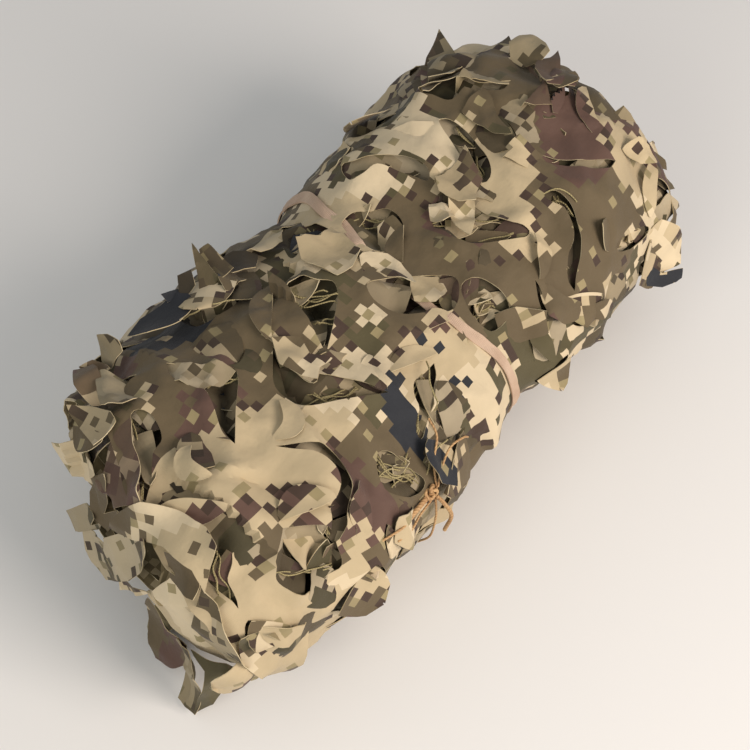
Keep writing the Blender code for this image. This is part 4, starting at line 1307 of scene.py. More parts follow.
OUTER_FLAPS = [
    Flap(225, 1.2, 7, 1, "brown", [
        (-58, -40, 1), (-60, -24), (-68, -4), (-82, 28, 1), (-90, 24), (-88, 10), (-94, 4), (-102, -2, 1),
        (-86, -16)]),
    Flap(110, 1.6, 4, 2, "tan", [
        (-102, -4, 1), (-92, 4), (-88, 10), (-94, 22), (-88, 36), (-100, 34), (-109, 38, 1), (-113, 28),
        (-115, 12)]),
    Flap(160, 1.0, 7, 1, "rose", [
        (-188, -50), (-178, -56), (-168, -52), (-164, -40), (-166, -24), (-162, -18), (-170, 2),
        (-181, 23, 1), (-184, 8), (-190, -12), (-194, -26), (-193, -42)]),
    Flap(180, 1.0, 6, 1, "olive", [
        (-184, -92), (-180, -66), (-188, -50), (-204, -48, 1), (-211, -62), (-200, -78)]),
    Flap(120, 1.4, 6, 2, "tan", [
        (-202, 83, 1), (-186, 86), (-171, 96), (-181, 108), (-187, 129, 1), (-196, 130), (-208, 118),
        (-207, 102)]),
    Flap(150, 1.2, 5, 1, "rose", [
        (-186, 118), (-162, 128), (-150, 146), (-146, 166), (-156, 170), (-170, 158), (-186, 142),
        (-191, 130)]),
    Flap(180, 1.0, 6, 2, "mixed", [
        (-184, 146), (-170, 158), (-158, 176), (-164, 190), (-182, 174), (-200, 156), (-209, 146),
        (-198, 142)]),
    Flap(100, 1.4, 7, 3, "cream", [
        (0, -8), (10, -7), (18, 4), (17, 18), (12, 32), (4, 41, 1), (2, 28), (-2, 18), (-12, 8)]),
    Flap(130, 1.2, 7, 1, "night", [
        (-80, 116), (-62, 138), (-66, 147), (-81, 152, 1), (-91, 142), (-90, 128)]),
    Flap(100, 1.0, 8, 1, "brown", [(222, -4), (244, 8), (238, 20), (218, 29, 1), (207, 20), (212, 8)]),
    Flap(130, 1.6, 5, 1, "maroon", [
        (218, -32), (232, -20), (208, 10), (196, 22, 1), (185, 14), (181, 4), (190, -10)]),
    Flap(130, 1.2, 8, 2, "khaki", [
        (126, -43, 1), (135, -38), (128, -24), (120, -4), (111, 19, 1), (100, 22), (92, 27), (83, 18),
        (79, 3), (88, -8), (100, -20), (114, -34)]),
    Flap(45, 1.6, 4, 3, "cream", [
        (106, 22, 1), (117, 27), (129, 42, 1), (124, 54), (119, 71, 1), (106, 79), (97, 72), (94, 58),
        (89, 44, 1), (96, 30)]),
    Flap(135, 1.0, 4, 1, "brown", [
        (166, 8), (186, 18), (192, 26), (187, 42), (178, 53, 1), (162, 50), (154, 40), (150, 24), (156, 14)]),
    Flap(60, 1.2, 8, 3, "tan", [
        (86, 116), (98, 126), (121, 142, 1), (129, 160), (112, 165, 1), (98, 156), (84, 144), (79, 130)]),
    Flap(200, 1.8, 3, 1, "brown", [(76, 102), (84, 120), (95, 133, 1), (86, 141), (74, 138), (65, 124)]),
    Flap(20, 1.2, 4, 2, "cream", [(212, 82), (228, 86), (235, 98), (229, 110), (216, 100)]),
    Flap(135, 1.4, 6, 1, "olive", [
        (176, -82), (192, -50), (208, -22, 1), (194, -13), (182, -30), (168, -52), (157, -72)]),
    Flap(315, 1.0, 4, 1, "brown", [
        (150, -26), (174, -22), (170, -12), (160, -2), (150, 16), (146, 4), (146, -8)]),
    Flap(315, 1.2, 4, 1, "khaki", [
        (-20, -47, 1), (-4, -40), (10, -44, 1), (8, -26), (4, -10, 1), (-12, -4), (-27, -6, 1), (-29, -22),
        (-30, -36)]),
    Flap(170, 1.2, 6, 1, "tan", [
        (-136, 132), (-118, 140), (-108, 152, 1), (-118, 166), (-136, 160), (-146, 146)]),
    Flap(0, 1.0, 5, 1, "brown", [(34, 100), (48, 104), (62, 118, 1), (58, 134), (40, 132), (30, 118)]),
    Flap(200, 1.0, 5, 1, "khaki", [(-30, -96), (-14, -90), (-6, -78, 1), (-18, -66), (-36, -70), (-42, -84)]),
    Flap(300, 1.0, 5, 1, "tan", [(60, -112), (78, -108), (92, -96, 1), (84, -82), (66, -86), (56, -98)]),
    Flap(160, 1.0, 6, 1, "mixed", [(140, 100), (158, 104), (168, 120, 1), (150, 128), (136, 118)]),
]
outer_leaves += [shaped_flap(flap) for flap in OUTER_FLAPS]
print(len(outer_leaves), "leaves and flaps on the outermost turn")

# %% [markdown]
# Where a cut closed up again its edge still shows, as a pale line that stands a little off the cloth. It is
# made as a strip of the same print, level with the cloth at one side and raised at the cut.

# %% Raised edges
EDGE_COLUMNS, EDGE_OFF = 7, 0.12
# side is 1 for the cloth on the line's left, and -1 for the cloth on its right
Edge = namedtuple("Edge", "side wide lift stops")
EDGES = [Edge(*row) for row in (
    (1, 16, 2.6, [(-58, -38), (-78, -22), (-94, -10), (-102, -4)]),
    (1, 12, 3.0, [(-200, 6), (-210, 14), (-212, 22), (-211, 32)]),
    (-1, 18, 3.4, [(-202, 82), (-188, 88), (-176, 92), (-166, 94)]),
    (1, 16, 2.6, [(-252, 134), (-244, 140), (-236, 146), (-226, 152)]),
    (1, 18, 3.0, [(-250, 10), (-238, 20), (-228, 36), (-220, 52)]),
    (-1, 14, 2.4, [(-262, 118), (-260, 132), (-254, 150), (-244, 164)]),
    (1, 14, 2.4, [(44, -2), (34, 6), (20, 18)]),
    (-1, 12, 2.2, [(98, 74), (90, 82), (82, 92), (76, 100)]),
    (1, 12, 2.2, [(66, 128), (62, 138), (60, 150), (58, 160)]),
    (1, 16, 2.8, [(8, 84), (2, 100), (-10, 112), (-14, 124), (-8, 146)]),
    (1, 14, 2.6, [(72, -86), (60, -70), (58, -52), (66, -42)]),
    (-1, 18, 3.0, [(198, -100), (180, -86), (164, -72), (152, -60)]),
    (1, 22, 3.2, [(206, -10), (188, -4), (170, 4), (158, 12), (154, 26), (158, 40), (166, 52)]),
    (-1, 16, 2.6, [(236, -18), (220, -2), (204, 14), (192, 26)]),
    (-1, 20, 3.2, [(194, 78), (184, 90), (174, 98), (162, 106), (154, 114), (150, 128)]),
    (1, 14, 2.6, [(236, 112), (228, 120), (214, 126), (200, 136)]),
    (-1, 14, 2.4, [(160, -28), (154, -10), (150, 8), (154, 24)]),
    (1, 14, 2.4, [(236, 32), (222, 44), (212, 54), (206, 66)]),
    (-1, 14, 2.6, [(-20, 68), (-10, 72), (0, 76), (8, 80)]),
    (1, 12, 2.2, [(-60, 52), (-68, 62), (-76, 76)]),
    (-1, 14, 2.2, [(-62, 70), (-44, 78), (-24, 86)]),
    (1, 16, 2.6, [(-216, -88), (-224, -68), (-226, -50)]),
    (-1, 16, 2.8, [(-42, -92), (-60, -80), (-76, -70), (-84, -58)]),
    (1, 14, 2.4, [(-140, 100), (-150, 112), (-156, 124), (-166, 130)]),
    (-1, 14, 2.2, [(-134, 26), (-146, 38), (-160, 40)]),
    (1, 14, 2.4, [(110, -60), (122, -46), (130, -38)]),
    (-1, 14, 2.4, [(-24, -12), (-30, 8), (-50, 22), (-64, 24)]),
    (1, 14, 2.4, [(20, 120), (30, 134), (34, 150), (30, 168)]),
    (-1, 14, 2.4, [(96, 150), (110, 158), (126, 172)]),
)]


def edge_strip(edge):
    line = line_through(edge.stops, 3.0, closed=False)
    ahead = np.gradient(line, axis=0)
    ahead /= np.linalg.norm(ahead, axis=1, keepdims=True)
    left = np.stack([-ahead[:, 1], ahead[:, 0]], axis=1) * edge.side
    share = np.linspace(0, 1, len(line))
    taper = np.sin(np.pi * np.clip(share, 0.02, 0.98)) ** 0.5
    t = np.linspace(0, 1, EDGE_COLUMNS)[:, None]
    flat = line[None] + left[None] * (edge.wide * taper * (1 - t))[..., None]
    place = flat.reshape(-1, 2)
    lift = edge.lift * taper * t ** 2 + 0.5 * taper * t * noise_at(flat[..., 0] / 9, flat[..., 1] / 9, 2.0)
    points, _ = on_roll(place[:, 0], place[:, 1], outer_off(place) + EDGE_OFF + lift.ravel())
    faces = grid_faces(EDGE_COLUMNS, len(line))
    return Cloth(points, faces if edge.side > 0 else faces[:, ::-1], place * MM, "mixed")


outer_leaves += [edge_strip(edge) for edge in EDGES]
print(len(EDGES), "raised edges")

# %% [markdown]
# ## Inside the holes
# Through a hole one sees the turn below, sagging a little, with its own cuts and its leaves crossing at odd
# angles, then darkness. The second turn is a second sheet just under the first, which sinks where a hole
# leaves it room. Its own cuts show the core, and the leaves inside the holes are listed one by one.

# %% Second turn
SECOND_BELOW, SECOND_SINK, SINK_REACH = 3.4, 14.0, 15.0
CORE_BELOW, CORE_SINK = 7.0, 13.0
SECOND_STEP, SECOND_END = 5.4, 34.0
SECOND_PRINT = np.array([1.31, 0.57])      # where on the print this turn begins, in metres


def sink(flat, depth):
    """How far cloth under the holes sinks: nothing outside them, and most in their middles."""
    found = np.zeros(len(flat))
    for hole in ALL_HOLES:
        within = inside(flat, hole)
        if within.any():
            away, _ = nearest(flat[within], hole)
            found[within] = depth * smooth(away / SINK_REACH)
    return found


def second_off(flat):
    """The second turn's height off the winding, at flat places."""
    return sheet_off(flat[:, 1]) + folds(flat[:, 0], flat[:, 1]) - SECOND_BELOW - sink(flat, SECOND_SINK)


def second_cuts():
    """Cuts of the second turn, out of step with those above."""
    dice = random.Random(8)
    found = []
    for row in range(11):
        around = SHEET_START + 34 + row * 62
        for step in range(8):
            along = -214 + 58 * step + 29 * (row % 2) + dice.uniform(-8, 8)
            wide, deep = dice.uniform(26, 40), dice.uniform(28, 42)
            turn, sharp = dice.uniform(0, 360), dice.uniform(1.3, 2.2)
            cut = Cut(along, around + dice.uniform(-8, 8), wide, deep, turn, sharp, 3, dice.uniform(6, 22))
            middle = cut_middle(cut)
            if reach(-1, middle[1]) + SECOND_END < middle[0] < reach(1, middle[1]) - SECOND_END:
                found.append(cut)
    return found


def apart_from_each_other(cuts, gap):
    kept, outlines = [], []
    for cut in cuts:
        outline = cut_outline(cut)
        if all(np.linalg.norm(outline[:, None] - other[None], axis=2).min() > gap for other in outlines):
            kept.append(cut)
            outlines.append(outline)
    return kept, outlines


SECOND_CUTS, second_holes = apart_from_each_other(second_cuts(), 7.0)
second_flat, second_faces = cut_flat(sheet_edge(6.0, short=9.0), second_holes, SECOND_STEP)
creased = 2.0 * ridged(second_flat[:, 0], second_flat[:, 1], 24.0, 40.0) * sink(second_flat, 1.0)
second_points, _ = on_roll(second_flat[:, 0], second_flat[:, 1], second_off(second_flat) + creased)
# The under tone makes this turn a little olive and dims it, as painted shade below the outermost turn
second_turn = Cloth(second_points, second_faces[:, ::-1], second_flat * MM + SECOND_PRINT, "under")
print(len(SECOND_CUTS), "cuts in the second turn")

# %% Leaves inside the holes
Leaf = namedtuple("Leaf", "along around wide deep turn sharp base lift cup sway tone")
# Leaves in the grey, deep and under tones are dimmed, as painted shade down in the holes
INNER_LEAVES = [Leaf(*row) for row in (
    # the hole left of the waist
    (-62, -26, 26, 30, 30, 1.6, -3, 14, 3, 4, "khaki"),
    (-66, 2, 24, 30, 120, 1.3, -4, 10, 3, -4, "olive"),
    # the hole with the strings
    (-92, 40, 30, 34, 80, 2.0, -4, 6, 2, 5, "brown"),
    (-104, 50, 26, 20, 60, 1.6, -6, 10, -2, 0, "olive"),
    # the black hole
    (-150, -14, 22, 20, 120, 1.3, -9, 16, 3, 3, "navy"),
    (-168, 10, 12, 26, 130, 1.4, -10, 4, 0, 0, "deep"),
    # the long slit
    (-208, -34, 16, 44, 125, 2.4, -5, 3, 2, -3, "grey"),
    # the crescent
    (-152, 60, 16, 60, 110, 2.6, -3, 2, 2, -12, "grey"),
    (-172, 108, 12, 14, 60, 1.5, -8, 6, 0, 0, "deep"),
    # the front hole
    (-196, 130, 24, 22, 300, 1.4, -5, 14, 3, -4, "brown"),
    (-218, 104, 16, 20, 60, 1.4, -6, 18, 2, 2, "deep"),
    # the cut at the near edge
    (-246, 74, 22, 40, 80, 2.2, -3, 4, 2, 3, "brown"),
    # the knot's hole
    (-120, 106, 22, 26, 40, 1.6, -4, 10, 4, 3, "under"),
    (-108, 132, 24, 22, 250, 1.5, -4, 10, 3, -3, "deep"),
    # the dark slit
    (-44, 92, 14, 34, 130, 1.6, -2, 6, 2, 2, "grey"),
    (-70, 110, 12, 22, 40, 1.6, -6, 6, 2, 0, "navy"),
    # the crumpled hole low at the waist
    (34, 72, 22, 20, 80, 1.5, -1, 26, 4, 4, "tan"),
    (44, 88, 20, 22, 160, 1.4, -2, 30, 4, -3, "cream"),
    (26, 92, 18, 20, 40, 1.4, -3, 20, 3, 2, "mixed"),
    (36, 104, 22, 16, 270, 1.6, -2, 22, 3, 0, "brown"),
    # the waist's top
    (-10, -70, 28, 26, 50, 1.7, -3, 14, 3, 3, "navy"),
    (6, -64, 18, 18, 150, 1.3, -1, 22, 3, 2, "cream"),
    (-16, -54, 18, 16, 340, 1.4, -3, 16, 2, 0, "grey"),
    # the olive leaf
    (34, -44, 14, 16, 40, 1.4, 0, 24, 3, 2, "khaki"),
    # the striped hole
    (66, -72, 14, 34, 60, 2.0, -2, 6, 2, 2, "brown"),
    (78, -58, 12, 38, 66, 2.0, -3, 4, 1, -2, "olive"),
    (86, -36, 12, 22, 60, 1.6, -4, 4, 1, 0, "deep"),
    # the spindle
    (122, -14, 14, 30, 110, 2.0, -4, 4, 1, 2, "brown"),
    (136, -28, 14, 26, 100, 1.6, -4, 8, 2, 2, "deep"),
    # the cream leaf's hole
    (62, 24, 22, 26, 50, 1.8, -3, 8, 2, 2, "tan"),
    (66, 40, 16, 36, 50, 2.0, -2, 5, 2, 3, "brown"),
    (80, 52, 14, 28, 30, 1.8, -4, 6, 2, 0, "olive"),
    (84, 30, 18, 24, 60, 1.4, -3, 16, 3, 2, "mixed"),
    # the frayed hole
    (130, 66, 18, 16, 80, 1.8, -2, 12, 2, 0, "brown"),
    (124, 84, 14, 34, 125, 2.0, -4, 4, 1, 2, "deep"),
    # the far top
    (160, -60, 20, 30, 50, 1.8, -4, 5, 3, 2, "deep"),
    (178, -32, 16, 20, 40, 1.5, -5, 6, 1, 0, "deep"),
    # the far edge
    (226, 2, 20, 26, 150, 1.7, -1, 10, 3, 2, "brown"),
    (204, 12, 16, 16, 60, 1.3, -8, 4, 0, 0, "deep"),
    # the low slit
    (158, 128, 22, 30, 20, 1.6, -3, 14, 3, 2, "mixed"),
    (186, 138, 18, 20, 200, 1.4, -3, 20, 3, 2, "cream"),
    # the far front
    (222, 130, 26, 34, 80, 2.0, -4, 5, 2, 3, "brown"),
    (226, 158, 20, 24, 280, 1.4, -3, 14, 3, 2, "khaki"),
)]
# The grey flaps are dimmed, as painted shade down in the holes
INNER_FLAPS = [
    Flap(320, -4.0, 2, 1, "grey", [
        (-159, -52), (-146, -30), (-136, -20), (-135, -10), (-150, -12), (-162, -20), (-169, -40)]),
    Flap(60, -4.5, 3, 2, "olive", [
        (20, -48), (32, -48), (43, -34), (37, -20), (27, -7), (15, -4), (11, -16), (13, -34)]),
    Flap(30, -3.5, 2, 1, "khaki", [(36, -22), (48, -16), (45, 0), (30, 4), (19, -6)]),
    Flap(315, -4.0, 2, 1, "grey", [(-18, 12), (-5, 15), (3, 26), (5, 38), (-8, 46), (-20, 44), (-26, 30)]),
    Flap(45, -3.0, 2, 1, "khaki", [(12, 32), (29, 47, 1), (26, 61), (9, 60, 1), (-1, 47)]),
    Flap(60, -5.0, 3, 1, "olive", [(28, 50), (40, 66), (29, 76), (10, 78), (13, 62)]),
    Flap(45, -3.0, 4, 2, "cream", [(80, 11), (92, 26), (79, 37, 1), (64, 43), (65, 30), (73, 19)]),
    Flap(240, -3.5, 4, 2, "tan", [(70, 1), (79, 14), (73, 23, 1), (60, 21), (61, 10)]),
]
inner_leaves = [shaped_flap(flap) for flap in INNER_FLAPS]
for leaf in INNER_LEAVES:
    cut = Cut(leaf.along, leaf.around, leaf.wide, leaf.deep, leaf.turn, leaf.sharp, 0, leaf.lift)
    inner_leaves.append(plain_leaf(cut, leaf.base, leaf.tone, leaf.cup, leaf.sway))


def under_a_hole(cut):
    """Whether a leaf of the second turn has room to stand up, in a hole of the outermost."""
    marks = np.stack([to_cloth(cut, 0.0, 0.0), cut_middle(cut), to_cloth(cut, 0.0, cut.deep)])
    return any(inside(marks, hole)[1:].all() for hole in ALL_HOLES)


for cut in SECOND_CUTS:
    roomy = under_a_hole(cut)
    lift = 0.6 * cut.lift if roomy else 0
    # The under tone dims these leaves, as painted shade below the outermost turn
    leaf = plain_leaf(cut._replace(lift=lift), second_off, "under", waves=0.8 if roomy else 0.0)
    inner_leaves.append(leaf)
print(len(inner_leaves), "leaves inside the holes")

# %% [markdown]
# The core stands for all the turns below. It is one closed shape: rings along the roll, then rings over each
# end that step down in a spiral, as the edges of wound cloth do.

# %% Core
CORE_AROUND, CORE_ALONG = 200, 120
CAP_RINGS = 16
WINDINGS, CAP_BULGE, WINDING_STEP, CAP_RING_STEP = 3.5, 10.0, 9.0, 0.006
CORE_SHORT = 26.0
CORE_PRINT = np.array([4.2, 6.1])      # where on the print the core begins, in metres


def core_cloth():
    """The core's rings along the roll and over both ends."""
    around = GIRTH * np.arange(CORE_AROUND) / CORE_AROUND
    turn = np.where(around < SHEET_STOP - LAP, around, around - GIRTH)
    low, high = reach(-1, turn) + CORE_SHORT, reach(1, turn) - CORE_SHORT
    share = np.linspace(0, 1, CORE_ALONG)[:, None]
    along = low + (high - low) * share
    place = np.broadcast_to(around, along.shape)
    flat = np.stack([along.ravel(), np.broadcast_to(turn, along.shape).ravel()], axis=1)
    depth = CORE_BELOW + sink(flat, CORE_SINK).reshape(along.shape)
    height = 0.6 * folds(flat[:, 0], flat[:, 1]).reshape(along.shape) - depth
    rings, _ = on_roll(along, place, height)
    uv = np.stack([along, place], axis=-1) * MM
    near_cap, near_uv = core_cap(rings[0], -1, around)
    far_cap, far_uv = core_cap(rings[-1], 1, around)
    points = np.concatenate([near_cap[::-1], rings, far_cap])
    uvs = np.concatenate([near_uv[::-1], uv, far_uv])
    rows = len(points)
    points = np.concatenate([points, points[:, :1]], axis=1).reshape(-1, 3)
    uvs = np.concatenate([uvs, uvs[:, :1] + np.array([0, GIRTH * MM])], axis=1).reshape(-1, 2)
    # Its nearly black tone dims the core, as painted shade for the turns seen deep in the openings
    return Cloth(points, grid_faces(rows, CORE_AROUND + 1), uvs + CORE_PRINT, "shaded_dark")


def core_cap(rim, end, around):
    """Rings from a rim to the middle of an end, stepping in and out with the windings."""
    middle = rim.mean(axis=0)
    rings, uvs = [], []
    for number in range(1, CAP_RINGS + 1):
        share = 1 - number / (CAP_RINGS + 0.3)
        step_down = (WINDINGS * share + around / GIRTH) % 1.0
        bulge = (CAP_BULGE * (1 - share * share) + WINDING_STEP * (step_down - 0.5)) * MM
        ring = middle + (rim - middle) * share
        ring[:, 0] += end * bulge
        rings.append(ring)
        uvs.append(np.stack([np.full(len(around), number * CAP_RING_STEP), around * share * MM], axis=1))
    return np.array(rings), np.array(uvs)


core = core_cloth()
print("core:", len(core.faces), "faces")

# %% [markdown]
# ## The two ends
# At an end one looks along the windings: the edges of all the turns, one inside the other, with leaves of the
# cloth's own border hanging over them. A ribbon that follows a spiral gives the windings, with an edge that
# comes and goes as leaves do. The border's leaves are hinged on the outer sheet's edge and bent in.

# %% Windings at the ends
RIBBON_TURNS, RIBBON_WIDE, RIBBON_STEP = 3.1, 46.0, 5.0
RIBBON_OUTER, RIBBON_INWARD = 0.95, 0.78
RIBBON_ROWS = 9
SCALLOP_LONG, SCALLOP_DEEP = 46.0, 13.0


def ribbon(end):
    """The edge of the wound cloth at one end, as a strip that follows a spiral."""
    way = np.arange(0, GIRTH * RIBBON_TURNS, RIBBON_STEP)
    share = RIBBON_OUTER - RIBBON_INWARD * way / way[-1]
    place = (-150.0 + end * 60 + way - SHEET_START) % GIRTH + SHEET_START
    arc = np.concatenate([[0], np.cumsum(RIBBON_STEP * share[1:])])
    scallop = np.abs(np.sin(arc * math.pi / SCALLOP_LONG)) ** 0.7 - 0.6
    ragged = SCALLOP_DEEP * scallop + 5 * noise_at(arc / 23, 4.0 * end, 2.0)
    lip = np.abs(reach(end, place)) - CORE_SHORT + 10 * (1 - share ** 2) + 6 + ragged
    deep = np.linspace(0, 1, RIBBON_ROWS)[:, None]
    along = end * (lip[None] - RIBBON_WIDE * deep)
    height = -7 + 5 * noise_at(arc[None] / 31, deep * 1.2, 6.0 * end) * (1 - deep)
    rim, _ = on_roll(along, np.broadcast_to(place, along.shape), height)
    wide, high, drift = columns_at(SECTIONS, along)
    hub = np.stack([along, drift, np.full(along.shape, CENTRE_HEIGHT - 6)], axis=-1) + FRAME_SHIFT
    curled = share[None] * (1 + 0.10 * (1 - deep) ** 2 * noise_at(arc[None] / 27, 9.0, 3.0 * end))
    points = hub * MM + (rim - hub * MM) * curled[..., None]
    flat = np.stack(np.broadcast_arrays(end * RIBBON_WIDE * deep, arc[None]), axis=-1) * MM + other_place()
    faces = grid_faces(RIBBON_ROWS, len(way))
    faces = faces[:, ::-1] if end < 0 else faces
    return Cloth(points.reshape(-1, 3), faces, flat.reshape(-1, 2), "mixed")


HINGE_IN = 2.0      # how far a border leaf's hinge lies inside the cloth's end
EndLeaf = namedtuple("EndLeaf", "end around wide deep sharp lift tone")
END_LEAVES = [EndLeaf(*row) for row in (
    (-1, -212, 56, 26, 1.6, -60, "mixed"),
    (-1, -140, 52, 22, 1.4, -40, "mixed"),
    (-1, -78, 50, 26, 1.5, -56, "brown"),
    (-1, 178, 44, 34, 2.6, -48, "mixed"),
    (-1, 234, 44, 30, 1.6, -80, "mixed"),
    (-1, 346, 34, 30, 1.8, 8, "mixed"),
    (1, -220, 56, 36, 1.6, -58, "mixed"),
    (1, -150, 50, 30, 1.5, -30, "mixed"),
    (1, 134, 54, 36, 1.6, -50, "mixed"),
    (1, 196, 54, 36, 2.4, -58, "mixed"),
)]


def border_leaf(leaf):
    """A leaf hinged on the outer sheet's edge, bent in over the end of the roll or out from it."""
    rows, columns = max(7, int(leaf.deep / 4)), max(7, int(leaf.wide / 4.5))
    forward, upward = bend(leaf.deep, leaf.lift, 0.75, rows)
    side = np.linspace(-1, 1, columns)
    x = side[None] * leaf_widths(leaf.sharp, rows)[:, None] * leaf.wide * 0.48
    place = leaf.around + x
    along = reach(leaf.end, place) + end_sway(leaf.end, place) - leaf.end * HINGE_IN
    flat = np.stack([along.ravel(), place.ravel()], axis=1)
    start, out = on_roll(along, place, outer_off(flat).reshape(along.shape) - 0.6)
    seed = leaf.around * 0.37 + leaf.end
    t = np.linspace(0, 1, rows)[:, None]
    wave = 2.4 * t * noise_at(x / 18, t * 3, seed) + 3.0 * side[None] ** 2 * t
    points = start + out * ((upward[:, None] + wave) * MM)[..., None]
    points[..., 0] += leaf.end * (forward[:, None] + 1.4 * t * noise_at(x / 14, t * 2, seed + 4)) * MM
    own = np.stack([x, np.broadcast_to(t * leaf.deep, x.shape)], axis=-1).reshape(-1, 2) * MM + other_place()
    faces = grid_faces(rows, columns)
    faces = faces[:, ::-1] if leaf.end < 0 else faces
    return Cloth(points.reshape(-1, 3), faces, own, leaf.tone)


border_leaves = [border_leaf(leaf) for leaf in END_LEAVES]
ribbons = [ribbon(-1), ribbon(1)]
print(len(border_leaves), "leaves on the border")

# %% [markdown]
# Some leaves stand free of the roll, or hang off its near end, twisted by how they were tucked in. No rule
# gives their shape. Each is an outline of places in space that the cloth is stretched between. It is laid out
# in the plane that fits those places best, and then bent off that plane like a thin plate, so that it passes
# through every one of them.

# %% Leaves that stand free
HUNG_STEP, HUNG_WAVES, PLATE_SLACK = 3.6, 1.3, 40.0
NEAR_END = np.array([-1.0, 0.0, 0.0])
# Stops of a hung leaf are (x, y, z) from the middle of the roll's foot, and a fourth value marks a corner
Hung = namedtuple("Hung", "tone stops")
HUNG_LEAVES = [
    # cloth that covers the left part of the near end
    Hung("khaki", [
        (-246, 72, 62), (-252, 38, 98, 1), (-260, 15, 82, 1), (-260, 25, 58), (-257, 42, 38, 1),
        (-250, 66, 48)]),
    Hung("olive", [(-240, 88, 68, 1), (-242, 60, 108), (-248, 46, 110), (-250, 54, 84), (-245, 76, 58)]),
    Hung("khaki", [
        (-254, 34, 104, 1), (-258, 0, 150), (-262, -20, 162, 1), (-266, -10, 118), (-267, 0, 98, 1),
        (-265, 18, 78), (-258, 35, 86)]),
    Hung("cream", [(-263, 24, 64, 1), (-267, -7, 98), (-269, -20, 106), (-268, -5, 86), (-265, 22, 54, 1)]),
    Hung("tan", [
        (-255, 14, 158), (-253, -5, 186), (-243, -28, 185), (-239, -53, 187), (-243, -69, 187),
        (-261, -72, 167), (-267, -73, 161, 1), (-263, -61, 173), (-265, -33, 173), (-261, -15, 157),
        (-259, 1, 145), (-256, 23, 132, 1)]),
    Hung("bark", [
        (-264, -34, 168), (-259, -52, 169), (-264, -66, 158, 1), (-272, -68, 155), (-270, -52, 148),
        (-268, -40, 145)]),
    # the broad pale band that crosses the end, and the leaf at its right
    Hung("cream", [
        (-264, -11, 91, 1), (-266, -28, 122), (-267, -40, 144, 1), (-270, -66, 140), (-270, -63, 111),
        (-268, -64, 87), (-262, -74, 70), (-253, -86, 44, 1), (-266, -66, 58), (-270, -42, 61),
        (-269, -28, 72), (-266, -15, 83)]),
    Hung("khaki", [
        (-264, -67, 159, 1), (-266, -80, 151), (-272, -88, 142), (-275, -98, 128), (-273, -106, 110),
        (-270, -107, 98, 1), (-263, -84, 70), (-270, -70, 92), (-273, -65, 112), (-270, -67, 148)]),
    # the pieces under the band: one with brown squares, and a folded one that reaches the floor
    Hung("brown", [
        (-262, -7, 74), (-266, -26, 66), (-268, -46, 56), (-270, -44, 28), (-272, -32, 12), (-273, -14, 5, 1),
        (-266, -4, 22), (-260, 0, 45)]),
    Hung("olive", [
        (-267, -38, 58), (-271, -58, 72), (-276, -69, 62), (-283, -70, 40), (-290, -66, 6, 1),
        (-286, -47, 4, 1), (-275, -42, 30)]),
    Hung("bark", [
        (-270, -52, 70), (-271, -67, 70), (-264, -79, 64), (-254, -88, 47, 1), (-256, -84, 32),
        (-272, -78, 26), (-276, -76, 22, 1), (-290, -66, 6, 1), (-283, -70, 40), (-276, -69, 62)]),
    # the sheet's front corner
    Hung("mixed", [
        (-268, -100, 130), (-252, -105, 121), (-234, -113, 109), (-218, -116, 89, 1), (-226, -117, 66),
        (-236, -117, 42), (-237, -107, 22, 1), (-250, -104, 50), (-266, -110, 84), (-272, -105, 100, 1)]),
    Hung("brown", [
        (-254, -107, 124, 1), (-236, -114, 112), (-222, -117, 95, 1), (-232, -118, 92), (-246, -117, 111)]),
    # the upper rim of the near end
    Hung("cream", [
        (-222, 103, 124, 1), (-227, 80, 147), (-233, 58, 163), (-240, 33, 173, 1), (-240, 48, 148),
        (-241, 58, 130), (-237, 72, 117), (-230, 90, 118)]),
    Hung("maroon", [
        (-232, 44, 181, 1), (-221, 45, 189), (-210, 40, 194, 1), (-230, 14, 188), (-248, -3, 193),
        (-250, -5, 181, 1), (-252, 12, 163), (-252, 30, 135, 1), (-247, 39, 150), (-241, 37, 170)]),
    Hung("brown", [
        (-240, 50, 147, 1), (-243, 32, 175), (-248, 27, 152), (-252, 30, 126), (-253, 36, 106, 1),
        (-248, 53, 105), (-243, 57, 126)]),
]
